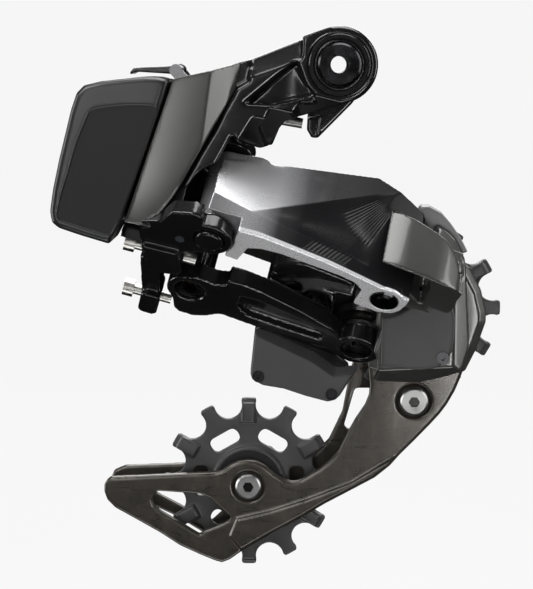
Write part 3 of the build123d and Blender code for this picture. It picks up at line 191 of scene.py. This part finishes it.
def surface(name, base, dark=None, rough=(0.25, 0.4), metallic=0.0, coat=0.0, coat_rough=0.08,
            grain=2600.0, grain_depth=0.000012, blotch=70.0, wear=None, wear_amount=0.5, spec=0.5,
            scratch=0.0, ior=1.5):
    """A coated or moulded surface: cloudy roughness, fine grain, hairline handling marks, lighter rubbed edges."""
    m, nt, b = nodes_of(name)
    tc = add(nt, "ShaderNodeTexCoord").outputs["Object"]
    big = noise(nt, tc, blotch, 5.0, 0.6)
    fine = noise(nt, tc, grain, 3.0, 0.6)
    dark = dark or tuple(c * 0.7 for c in base)
    col = mixc(nt, remap(nt, big, 0.3, 0.7, 0, 1), dark, base)
    rg = math_node(nt, "ADD", remap(nt, big, 0.25, 0.75, rough[0], rough[1]), remap(nt, fine, 0.3, 0.7, -0.02, 0.02))
    hair = noise(nt, mapped(nt, tc, (260, 2600, 900), (0.3, 0.5, 0.2)), 1.0, 6.0, 0.7, 0.6)
    marks = remap(nt, hair, 0.62, 0.72, 0.0, scratch)
    if scratch:
        rg = math_node(nt, "ADD", rg, marks)
    if wear is not None:
        geo = add(nt, "ShaderNodeNewGeometry").outputs["Pointiness"]
        edge = remap(nt, geo, 0.53, 0.60, 0.0, 1.0)
        chip = remap(nt, noise(nt, tc, 420.0, 6.0, 0.7), 0.40, 0.62, 0.0, 1.0)
        worn = math_node(nt, "MULTIPLY", math_node(nt, "MULTIPLY", edge, chip), wear_amount)
        col = mixc(nt, worn, col, wear)
    nt.links.new(col, b.inputs["Base Color"])
    nt.links.new(rg, b.inputs["Roughness"])
    b.inputs["Metallic"].default_value = metallic
    b.inputs["Coat Weight"].default_value = coat
    b.inputs["Coat Roughness"].default_value = coat_rough
    b.inputs["Specular IOR Level"].default_value = spec
    b.inputs["IOR"].default_value = ior
    bumped(nt, b, fine, 0.6, grain_depth)
    return m, nt, b


def turned_metal(name, base, rough=(0.18, 0.32), ring_axis=1, scale=3000.0, tint=None):
    """Turned and plated steel: fine concentric tool marks, slight tint changes and handling dullness."""
    m, nt, b = nodes_of(name)
    tc = add(nt, "ShaderNodeTexCoord").outputs["Object"]
    big = noise(nt, tc, 180.0, 4.0, 0.6)
    sc = [scale * 0.05] * 3
    sc[ring_axis] = scale
    tool = noise(nt, mapped(nt, tc, tuple(sc)), 1.0, 3.0, 0.6)
    col = mixc(nt, remap(nt, big, 0.3, 0.7, 0, 1), tuple(c * 0.78 for c in base), tint or base)
    nt.links.new(col, b.inputs["Base Color"])
    nt.links.new(math_node(nt, "ADD", remap(nt, big, 0.3, 0.7, rough[0], rough[1]),
                           remap(nt, tool, 0.3, 0.7, -0.05, 0.05)), b.inputs["Roughness"])
    b.inputs["Metallic"].default_value = 1.0
    bumped(nt, b, tool, 0.5, 0.00001)
    return m


MAT = {}
MAT["gloss_black_alloy"] = surface("gloss_black_alloy", (0.0045, 0.0045, 0.0048), rough=(0.19, 0.22), spec=0.3, coat=0.25, coat_rough=0.05,
                                   grain_depth=0.0000008, wear=(0.03, 0.03, 0.032), wear_amount=0.12, scratch=0.01)[0]
MAT["satin_black_cover"] = surface("satin_black_cover", (0.085, 0.085, 0.083), dark=(0.075, 0.075, 0.073), rough=(0.32, 0.37), metallic=0.75, coat=0.12, coat_rough=0.2,
                                   grain_depth=0.000003, wear=(0.09, 0.09, 0.093), wear_amount=0.3, scratch=0.03)[0]
MAT["matte_black_dock"] = surface("matte_black_dock", (0.007, 0.007, 0.0073), rough=(0.42, 0.55), grain=1800, grain_depth=0.00002, spec=0.35)[0]
MAT["satin_knuckle"] = surface("satin_knuckle", (0.050, 0.050, 0.048), dark=(0.043, 0.043, 0.042), rough=(0.28, 0.33), metallic=0.6, coat=0.35,
                               coat_rough=0.07, grain_depth=0.0000015, wear=(0.12, 0.12, 0.12), wear_amount=0.25, scratch=0.02)[0]
MAT["housing_gloss"] = surface("housing_gloss", (0.009, 0.009, 0.0093), rough=(0.20, 0.26), coat=0.3, coat_rough=0.1, grain_depth=0.000003,
                               wear=(0.04, 0.04, 0.041), wear_amount=0.25, scratch=0.02)[0]
MAT["battery_black"] = surface("battery_black", (0.0075, 0.0075, 0.0076), rough=(0.30, 0.38), grain=2400, grain_depth=0.000008,
                               wear=(0.045, 0.045, 0.047), wear_amount=0.35, scratch=0.04)[0]
MAT["panel_black"] = surface("panel_black", (0.0062, 0.0062, 0.0064), rough=(0.5, 0.6), grain=1500, grain_depth=0.00003, spec=0.3)[0]
MAT["link_black"] = surface("link_black", (0.0045, 0.0045, 0.0048), rough=(0.18, 0.26), coat=0.4, coat_rough=0.06,
                            grain_depth=0.0000015, wear=(0.035, 0.035, 0.037), wear_amount=0.15, scratch=0.01)[0]
MAT["housing_plastic"] = surface("housing_plastic", (0.028, 0.028, 0.028), rough=(0.36, 0.44), grain=1600, grain_depth=0.00002,
                                 wear=(0.04, 0.04, 0.041), wear_amount=0.3, spec=0.4)[0]
MAT["pulley_black"] = surface("pulley_black", (0.024, 0.024, 0.0238), rough=(0.34, 0.44), grain=1700, grain_depth=0.000015,
                              wear=(0.05, 0.048, 0.046), wear_amount=0.4, scratch=0.04)[0]
MAT["cap_grey"] = surface("cap_grey", (0.12, 0.12, 0.12), dark=(0.09, 0.09, 0.09), rough=(0.3, 0.42), metallic=0.3,
                          grain_depth=0.00001, wear=(0.3, 0.3, 0.3), wear_amount=0.3)[0]
MAT["steel_bright"] = turned_metal("steel_bright", (0.72, 0.71, 0.67), (0.34, 0.46), 0)
MAT["steel_dark"] = turned_metal("steel_dark", (0.17, 0.17, 0.175), (0.22, 0.34), 1)
MAT["bolt_grey"] = turned_metal("bolt_grey", (0.30, 0.30, 0.295), (0.3, 0.42), 1)
MAT["black_oxide"] = turned_metal("black_oxide", (0.035, 0.035, 0.037), (0.2, 0.3), 1)
MAT["spring_steel"] = turned_metal("spring_steel", (0.26, 0.25, 0.245), (0.25, 0.4), 1)
MAT["bronze_bush"] = turned_metal("bronze_bush", (0.30, 0.20, 0.10), (0.3, 0.45), 1)
MAT["gold_contact"] = turned_metal("gold_contact", (0.85, 0.6, 0.22), (0.12, 0.22), 1)
MAT["board_green"] = surface("board_green", (0.01, 0.10, 0.035), rough=(0.35, 0.5), coat=0.3, grain=900, grain_depth=0.00004)[0]


def glass(name):
    m, nt, b = nodes_of(name)
    tc = add(nt, "ShaderNodeTexCoord").outputs["Object"]
    n = noise(nt, tc, 900.0, 3.0)
    nt.links.new(remap(nt, n, 0.3, 0.7, 0.08, 0.2), b.inputs["Roughness"])
    nt.links.new(mixc(nt, n, (0.02, 0.022, 0.025), (0.035, 0.038, 0.042)), b.inputs["Base Color"])
    b.inputs["Transmission Weight"].default_value = 0.3
    return m


MAT["window_clear"] = glass("window_clear")


def carbon(name):
    """Moulded short-fibre carbon: overlapping brown-grey flakes under a satin clear coat."""
    m, nt, b = nodes_of(name)
    tc = add(nt, "ShaderNodeTexCoord").outputs["Object"]
    warp = noise(nt, tc, 90.0, 4.0, 0.6)
    v1 = mapped(nt, tc, (90, 90, 260), (0.2, 0.5, 0.1))
    v2 = mapped(nt, tc, (210, 90, 80), (0.1, -0.9, 0.3))
    f1 = noise(nt, v1, 1.0, 6.0, 0.72, 1.2)
    f2 = noise(nt, v2, 1.0, 6.0, 0.72, 1.2)
    flake = mixc(nt, 0.5, ramp(nt, f1, [(0.32, (0.022, 0.0195, 0.0155)), (0.50, (0.040, 0.0355, 0.0295)), (0.68, (0.066, 0.0585, 0.049))]),
                 ramp(nt, f2, [(0.30, (0.024, 0.021, 0.0165)), (0.52, (0.043, 0.038, 0.0315)), (0.70, (0.074, 0.065, 0.054))]))
    nt.links.new(flake, b.inputs["Base Color"])
    nt.links.new(remap(nt, f1, 0.3, 0.7, 0.25, 0.34), b.inputs["Roughness"])
    b.inputs["Metallic"].default_value = 0.6
    b.inputs["Coat Weight"].default_value = 0.3
    b.inputs["Coat Roughness"].default_value = 0.16
    bumped(nt, b, f2, 0.4, 0.00004)
    return m


MAT["cage_carbon"] = carbon("cage_carbon")


def link_fade(name):
    """Painted link: bright silver at the knuckle end fading to gloss black at the cage end."""
    m, nt, b = nodes_of(name)
    tc = add(nt, "ShaderNodeTexCoord").outputs["Object"]
    big = noise(nt, tc, 60.0, 2.0, 0.5)
    fine = noise(nt, tc, 3200.0, 2.0, 0.5)
    dot = add(nt, "ShaderNodeVectorMath", operation="DOT_PRODUCT")
    nt.links.new(tc, dot.inputs[0])
    dot.inputs[1].default_value = tuple(LX)
    start = float(BO @ LX) * MM
    u = math_node(nt, "SUBTRACT", dot.outputs["Value"], start)
    u = math_node(nt, "ADD", u, remap(nt, big, 0.3, 0.7, -0.0002, 0.0002))
    f = remap(nt, u, -0.004, 0.050, 0.0, 1.0)
    # height along the pins: the facet above the ridge stays silver longer, the bottom rim and the eye ring stay silver throughout
    hz = add(nt, "ShaderNodeVectorMath", operation="DOT_PRODUCT")
    nt.links.new(tc, hz.inputs[0])
    hz.inputs[1].default_value = tuple(UPV / np.linalg.norm(UPV))
    z = math_node(nt, "SUBTRACT", hz.outputs["Value"], float(BO @ (UPV / np.linalg.norm(UPV))) * MM)
    above = math_node(nt, "SUBTRACT", z, math_node(nt, "ADD", math_node(nt, "MULTIPLY", u, 0.634), 0.0022))
    upper = remap(nt, above, -0.0003, 0.0006, 0.0, 1.0)
    f_low = remap(nt, u, 0.001, 0.026, 0.0, 1.0)
    f_up = remap(nt, u, 0.004, 0.040, 0.0, 1.0)
    top = ramp(nt, f_up, [(0.0, (0.25, 0.25, 0.255)), (0.28, (0.20, 0.20, 0.205)), (0.50, (0.05, 0.05, 0.052)), (0.70, (0.006, 0.006, 0.0065)), (1.0, (0.004, 0.004, 0.0042))])
    low = ramp(nt, f_low, [(0.0, (0.36, 0.36, 0.37)), (0.3, (0.20, 0.20, 0.21)), (0.6, (0.02, 0.02, 0.021)), (0.85, (0.006, 0.006, 0.0065)), (1.0, (0.005, 0.005, 0.0055))])
    col = mixc(nt, upper, low, top)
    rim = remap(nt, math_node(nt, "SUBTRACT", z, math_node(nt, "MULTIPLY", u, -0.012)), 0.0021, 0.0025, 1.0, 0.0)
    col = mixc(nt, rim, col, (0.62, 0.62, 0.63))
    nt.links.new(col, b.inputs["Base Color"])
    nt.links.new(math_node(nt, "MAXIMUM", remap(nt, f, 0.0, 0.5, 0.8, 0.05), math_node(nt, "MULTIPLY", rim, 0.6)), b.inputs["Metallic"])
    nt.links.new(math_node(nt, "ADD", remap(nt, big, 0.3, 0.7, 0.26, 0.29), remap(nt, fine, 0.3, 0.7, -0.006, 0.006)), b.inputs["Roughness"])
    nt.links.new(remap(nt, f, 0.1, 0.6, 0.25, 0.02), b.inputs["Coat Weight"])
    b.inputs["Coat Roughness"].default_value = 0.06
    b.inputs["Specular IOR Level"].default_value = 0.13
    bumped(nt, b, fine, 0.4, 0.0000008)
    return m


MAT["silver_fade_link"] = link_fade("silver_fade_link")

SLOT = {
    "b_knuckle": "gloss_black_alloy", "knuckle_cover": "satin_black_cover", "dock_block": "matte_black_dock",
    "battery_contacts": "gold_contact", "boss_ring": "gloss_black_alloy", "bolt_bush": "black_oxide", "control_board": "board_green",
    "led_window": "window_clear", "knuckle_pins": "black_oxide", "latch_pin": "steel_dark", "knuckle_pin_clip": "steel_dark",
    "hanger_bolt": "black_oxide", "bolt_circlip": "spring_steel", "tab_washer": "gloss_black_alloy", "b_screw": "bolt_grey",
    "limit_screw_high": "steel_bright", "limit_screw_low": "steel_bright", "function_button": "gloss_black_alloy",
    "battery": "battery_black", "battery_panel": "panel_black", "battery_cell": "board_green", "battery_latch": "battery_black",
    "outer_link": "silver_fade_link", "outer_link_bushes": "bronze_bush", "outer_pin": "steel_dark", "outer_clip": "steel_dark",
    "inner_link": "link_black", "inner_link_bushes": "bronze_bush", "motor_housing": "housing_gloss", "motor_cover": "housing_plastic",
    "motor_cover_screws": "black_oxide", "motor": "steel_dark", "motor_pinion": "steel_dark", "idler_gear": "steel_dark",
    "p_knuckle": "satin_knuckle", "gear_cover": "housing_plastic", "gear_cover_screws": "black_oxide", "knuckle_cap": "cap_grey",
    "damper_cover": "satin_knuckle", "p_knuckle_bushes": "bronze_bush", "inner_pin": "steel_dark", "inner_clip": "steel_dark",
    "sector_gear": "spring_steel", "shaft_bush": "bronze_bush", "cage_spring": "spring_steel",
    "cage_outer_plate": "cage_carbon", "cage_inner_plate": "cage_carbon", "cage_shaft": "steel_dark", "inner_races": "spring_steel",
    "pulley_shields": "panel_black", "lower_pulley_bolt": "bolt_grey", "upper_pulley_bolt": "bolt_grey", "cage_stop_screw": "bolt_grey",
    "upper_pulley": "pulley_black", "upper_outer_race": "spring_steel", "upper_balls": "steel_bright",
    "lower_pulley": "pulley_black", "lower_outer_race": "spring_steel", "lower_balls": "steel_bright",
}
for n, o in NODES.items():
    o.data.materials.clear()
    o.data.materials.append(MAT[SLOT[n]])


# ------------------------------------------------------------------ finished bodies
def blend_region(out, region, rounds):
    """Blends hard steps inside a region into one flowing surface."""
    n = len(out.vertices)
    co = np.zeros(n * 3); out.vertices.foreach_get("co", co); co = co.reshape(-1, 3) / MM
    ed = np.zeros(len(out.edges) * 2, dtype=np.int64); out.edges.foreach_get("vertices", ed); ed = ed.reshape(-1, 2)
    a, b = np.concatenate((ed[:, 0], ed[:, 1])), np.concatenate((ed[:, 1], ed[:, 0]))
    count = np.maximum(np.bincount(a, minlength=n), 1)
    w = region(co)[:, None] * 0.5
    for _ in range(rounds):
        mean = np.stack([np.bincount(a, weights=co[b, k], minlength=n) for k in range(3)], 1) / count[:, None]
        co = co + w * (mean - co)
    out.vertices.foreach_set("co", (co * MM).ravel()); out.update()


def finished(node, voxel=0.35, smooth=4, keep=0.35, shape=None, mat=None, region=None, rounds=40):
    """Stands for a CAD node: the same solid with the soft edge radii of a forging or moulding, and shape() adding its fine relief."""
    src = NODES[node]
    me = src.data.copy()
    bm = bmesh.new(); bm.from_mesh(me)
    bmesh.ops.remove_doubles(bm, verts=bm.verts, dist=2e-6)
    bm.to_mesh(me); bm.free()
    ob = bpy.data.objects.new(node + "_body", me)
    scene.collection.objects.link(ob)
    r = ob.modifiers.new("voxel", "REMESH")
    r.mode = "VOXEL"; r.voxel_size = voxel * MM; r.adaptivity = 0.0; r.use_smooth_shade = True
    if smooth:
        s = ob.modifiers.new("ease", "SMOOTH"); s.factor = 0.5; s.iterations = smooth
    dg = bpy.context.evaluated_depsgraph_get()
    out = bpy.data.meshes.new_from_object(ob.evaluated_get(dg))
    ob.modifiers.clear()
    ob.data = out
    if shape is not None:
        co = np.zeros(len(out.vertices) * 3); out.vertices.foreach_get("co", co)
        no = np.zeros(len(out.vertices) * 3); out.vertices.foreach_get("normal", no)
        co = shape(co.reshape(-1, 3) / MM, no.reshape(-1, 3)) * MM
        out.vertices.foreach_set("co", co.ravel()); out.update()
    if region is not None:
        blend_region(out, region, rounds)
    if keep < 1:
        d = ob.modifiers.new("thin", "DECIMATE"); d.ratio = keep
        dg = bpy.context.evaluated_depsgraph_get()
        out = bpy.data.meshes.new_from_object(ob.evaluated_get(dg))
        ob.modifiers.clear()
        ob.data = out
    for p in out.polygons:
        p.use_smooth = True
    out.materials.clear()
    out.materials.append(mat or MAT[SLOT[node]])
    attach(ob, BODY[node])
    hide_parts(node)
    return ob


def step01(x):
    x = np.clip(x, 0, 1)
    return x * x * (3 - 2 * x)


def outer_link_relief(co, no):
    """Hollows the dark facet and cuts the fans of fine ridges into it and into the side strip."""
    u, o, z = link_uoz(co)
    facing = step01((-(no @ LY) - 0.35) / 0.3)
    ridge = 7.0 + 0.634 * (u - 7.6)
    crease = 7.0 - 0.042 * (u - 7.6)
    s = (z - crease) / np.maximum(ridge - crease, 0.5)
    inside = step01(s / 0.12) * step01((1 - s) / 0.10)
    bowl = 4 * np.clip(s, 0, 1) * (1 - np.clip(s, 0, 1)) * step01((u - 11) / 12) * step01((46 - u) / 7)
    depth = 1.25 * bowl * facing
    # fan of ridges that spreads from the top corner
    ang = np.degrees(np.arctan2(34.5 - z, 50.0 - u))
    radius = np.hypot(34.5 - z, 50.0 - u)
    fan = 0.5 - 0.5 * np.cos(2 * np.pi * (ang - 42) / 2.45)
    where = inside * step01((ang - 40) / 2) * step01((73 - ang) / 3) * step01((radius - 9.5) / 3.5) * step01((25.5 - radius) / 5)
    depth += 0.24 * fan * where * facing
    # short slanting ridges on the side strip
    on = step01((crease - z) / 0.5) * step01((z - 2.3) / 0.4) * step01((u - 0.65 * z - 21.8) / 1.0) * step01((35.8 - u + 0.65 * z) / 1.0)
    bars = 0.5 - 0.5 * np.cos(2 * np.pi * (u - 0.65 * z) / 1.2)
    depth += 0.22 * bars * on * facing
    return co + LY[None, :] * depth[:, None]


def link_heel(co):
    u, o, z = link_uoz(co)
    return step01((z - 17.0) / 3.0) * step01((15.0 - u) / 3.0)


finished("outer_link", voxel=0.24, smooth=7, keep=1.0, shape=outer_link_relief, region=link_heel, rounds=70)
EASE = {"b_knuckle": 7, "knuckle_cover": 6, "battery": 14, "inner_link": 8, "motor_housing": 14, "p_knuckle": 16, "gear_cover": 5,
        "knuckle_cap": 8, "damper_cover": 8, "cage_outer_plate": 5}


def cover_swell(co, no):
    """The knuckle cover's outboard face is a shallow saddle that rolls off at both long edges."""
    x, y, z = co.T
    t = (x + 44.0 - (z + 4.0) * 0.36) / 20.0           # 0 at the battery edge, 1 at the arm
    face = step01((-no[:, 1] - 0.6) / 0.3)
    roll = 2.0 * np.clip(0.55 - t, 0, 1) ** 2 + 2.2 * np.clip(t - 0.62, 0, 1) ** 2
    fall = 1.0 * np.clip((-z - 26.0) / 16.0, 0, 1) ** 2
    out = co.copy()
    out[:, 1] += np.minimum(roll + fall, 1.6) * face
    return out


def hood_swell(co, no):
    """The hood rolls inboard towards its rear edge and its lower front corner."""
    u, o, z = link_uoz(co)
    face = step01((-(no @ LY) - 0.5) / 0.3) * step01((o - 9.0) / 1.0) * step01((u - 44.0) / 1.0)
    roll = 1.5 * np.clip((53.0 - u) / 8.0, 0, 1) ** 2 + 1.6 * np.clip((u - 60.0) / 10.0, 0, 1) ** 2
    return co + LY[None, :] * (np.minimum(roll, 1.3) * face)[:, None]


def open_bore(co, origin, axis, r_lo, r_hi, r_to, a0, a1):
    """Keeps a bore at its running size after the edges have been softened."""
    d = co - origin
    a = d @ axis
    radial = d - a[:, None] * axis[None, :]
    r = np.linalg.norm(radial, axis=1)
    hit = (r > r_lo) & (r < r_hi) & (a > a0) & (a < a1)
    co[hit] += radial[hit] * ((r_to / r[hit]) - 1)[:, None]
    return co


def square_floor(co, origin, axis, r_lo, r_hi, a0, a1, a_to):
    """Keeps the floor of a bore flat out to its wall."""
    d = co - origin
    a = d @ axis
    r = np.linalg.norm(d - a[:, None] * axis[None, :], axis=1)
    hit = (r > r_lo) & (r < r_hi) & (a > a0) & (a < a1)
    co[hit] += (a_to - a[hit])[:, None] * axis[None, :]
    return co


def knuckle_finish(co, no):
    """Button recess and B-screw bore kept open; the arm's pocket eased into a shallow valley."""
    co = co.copy()
    up = UPV / np.linalg.norm(UPV)
    co = square_floor(co, BO, up, 2.2, 4.0, 0.7, 2.7, 2.7)
    co = open_bore(co, BO, up, 3.0, 4.4, 4.4, -2.2, 2.5)
    ax = np.array((0.985, 0.0, -0.17)); ax /= np.linalg.norm(ax)
    org = np.array((-25.6, -6.6, -13.4))
    co = open_bore(co, org, ax, 0.9, 1.70, 1.70, -1.0, 22.0)
    head = np.array((-32.0, -6.6, -12.3))
    co = square_floor(co, head, ax, 1.75, 2.5, 12.7, 14.2, 14.2)
    co = open_bore(co, head, ax, 2.0, 2.75, 2.75, 0.0, 14.0)
    x, y, z = co.T
    inside = (x > -23.4) & (x < -6.6) & (z > -10.4) & (z < -0.2) & (y > -17.3) & (y < -12.2) & (z < 0.86 * x + 10.2)
    target = np.maximum(-16.0, -16.9 + 1.1 * np.sin(np.pi * np.clip((x + 23.0) / 16.0, 0, 1)))
    co[:, 1] = np.where(inside & (y > target), np.minimum(y, target + 0.1 * (y - target)), y)
    return co


def arm_flow(co):
    """Outboard side of the arm between the boss and the cover."""
    x, y, z = co.T
    r = np.hypot(x, z)
    screw = np.hypot(y + 6.6, z + 0.1726 * x + 17.82)
    return (step01((x + 31.0) / 2.0) * step01((-5.0 - x) / 2.0) * step01((z + 26.0) / 2.0) * step01((-9.0 - y) / 1.5)
            * step01((r - 10.8) / 0.8) * step01((screw - 3.2) / 1.0))


SHAPE = {"knuckle_cover": cover_swell, "p_knuckle": hood_swell, "b_knuckle": knuckle_finish}
for node in ("b_knuckle", "knuckle_cover", "dock_block", "battery", "battery_latch", "inner_link",
             "motor_housing", "motor_cover", "p_knuckle", "gear_cover", "knuckle_cap", "damper_cover", "tab_washer",
             "cage_outer_plate", "cage_inner_plate", "upper_pulley", "lower_pulley"):
    finished(node, smooth=EASE.get(node, 4), shape=SHAPE.get(node), region=arm_flow if node == "b_knuckle" else None, rounds=5)


def painted_socket_shade(name, body, x, y, z, r):
    """Painted shade: a thin black hex disc at the floor of a hex socket, inside the bolt head, standing for the shade
    in the recess.
    """
    me = bpy.data.meshes.new(name)
    bm = bmesh.new()
    ring = [bm.verts.new((x * MM + r * MM * math.cos(math.radians(60 * k)), y * MM, z * MM + r * MM * math.sin(math.radians(60 * k)))) for k in range(6)]
    back = [bm.verts.new((v.co.x, v.co.y + 0.15 * MM, v.co.z)) for v in ring]
    bm.faces.new(ring)
    bm.faces.new(list(reversed(back)))
    for k in range(6):
        bm.faces.new((ring[k], back[k], back[(k + 1) % 6], ring[(k + 1) % 6]))
    bmesh.ops.recalc_face_normals(bm, faces=bm.faces)
    bm.to_mesh(me); bm.free()
    me.materials.append(MAT["gloss_black_alloy"])
    ob = bpy.data.objects.new(name, me)
    scene.collection.objects.link(ob)
    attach(ob, body)
    return ob


# Painted shade: black hex discs in the sockets of the lower pulley bolt and the cage stop screw stand for the shade
# inside the recesses.
for nm in ("lower_pulley_bolt", "cage_stop_screw"):
    src = NODES[nm]
    pts = np.array([src.matrix_world @ v.co for v in src.data.vertices]) / MM
    front = pts[:, 1].min()
    head = pts[pts[:, 1] < front + 0.3]
    cx, cz = (head[:, 0].min() + head[:, 0].max()) / 2, (head[:, 2].min() + head[:, 2].max()) / 2
    painted_socket_shade(nm + "_socket", BODY[nm], cx, front + 0.75, cz, 1.68)

# ------------------------------------------------------------------ floor, world and studio
floor_me = bpy.data.meshes.new("floor")
bm = bmesh.new()
bmesh.ops.create_grid(bm, x_segments=8, y_segments=8, size=6.0)
bm.to_mesh(floor_me); bm.free()
floor = bpy.data.objects.new("floor", floor_me)
scene.collection.objects.link(floor)
floor.location = (0, 0, -0.30)
fm, fnt, fb = nodes_of("floor_white")
ftc = add(fnt, "ShaderNodeTexCoord").outputs["Object"]
fn = noise(fnt, ftc, 3.0, 3.0)
fnt.links.new(mixc(fnt, fn, (0.010, 0.010, 0.010), (0.016, 0.016, 0.016)), fb.inputs["Base Color"])
fb.inputs["Roughness"].default_value = 0.9
fb.inputs["Specular IOR Level"].default_value = 0.0
fb.inputs["Emission Color"].default_value = (1, 1, 1, 1)
fb.inputs["Emission Strength"].default_value = 0.905
floor_me.materials.append(fm)
floor.visible_glossy = False

world = bpy.data.worlds.new("studio")
scene.world = world
world.use_nodes = True
bg = next(n for n in world.node_tree.nodes if n.type == "BACKGROUND")
bg.inputs["Color"].default_value = (0.921, 0.921, 0.921, 1)
bg.inputs["Strength"].default_value = 1.0
world.cycles_visibility.glossy = False

scene.view_settings.view_transform = "Standard"


def softbox(name, at, size, power, target=(-0.015, 0.0, -0.07), colour=(1, 1, 1), spread=180):
    ld = bpy.data.lights.new(name, "AREA")
    ld.shape = "RECTANGLE"
    ld.size, ld.size_y = size
    ld.energy = power
    ld.color = colour
    ld.spread = math.radians(spread)
    ob = bpy.data.objects.new(name, ld)
    scene.collection.objects.link(ob)
    ob.location = at
    ob.rotation_mode = "QUATERNION"
    ob.rotation_quaternion = (Vector(target) - Vector(at)).to_track_quat("-Z", "Y")
    ob.visible_camera = False
    return ob


softbox("key", (-0.50, -0.50, 0.60), (0.50, 0.50), 7)
softbox("top", (0.05, 0.05, 0.75), (0.8, 0.5), 10)
softbox("right", (0.75, -0.10, 0.10), (0.20, 0.8), 4)
softbox("left", (-0.80, -0.05, -0.05), (0.20, 0.7), 4)
softbox("front_left", (-0.24, -0.95, 0.02), (0.12, 0.5), 1.5)
softbox("front_right", (0.20, -0.95, -0.28), (0.10, 0.26), 1.7)
softbox("low", (-0.05, -0.45, -0.75), (0.7, 0.25), 3)
softbox("back", (0.1, 0.8, 0.35), (0.9, 0.4), 6)
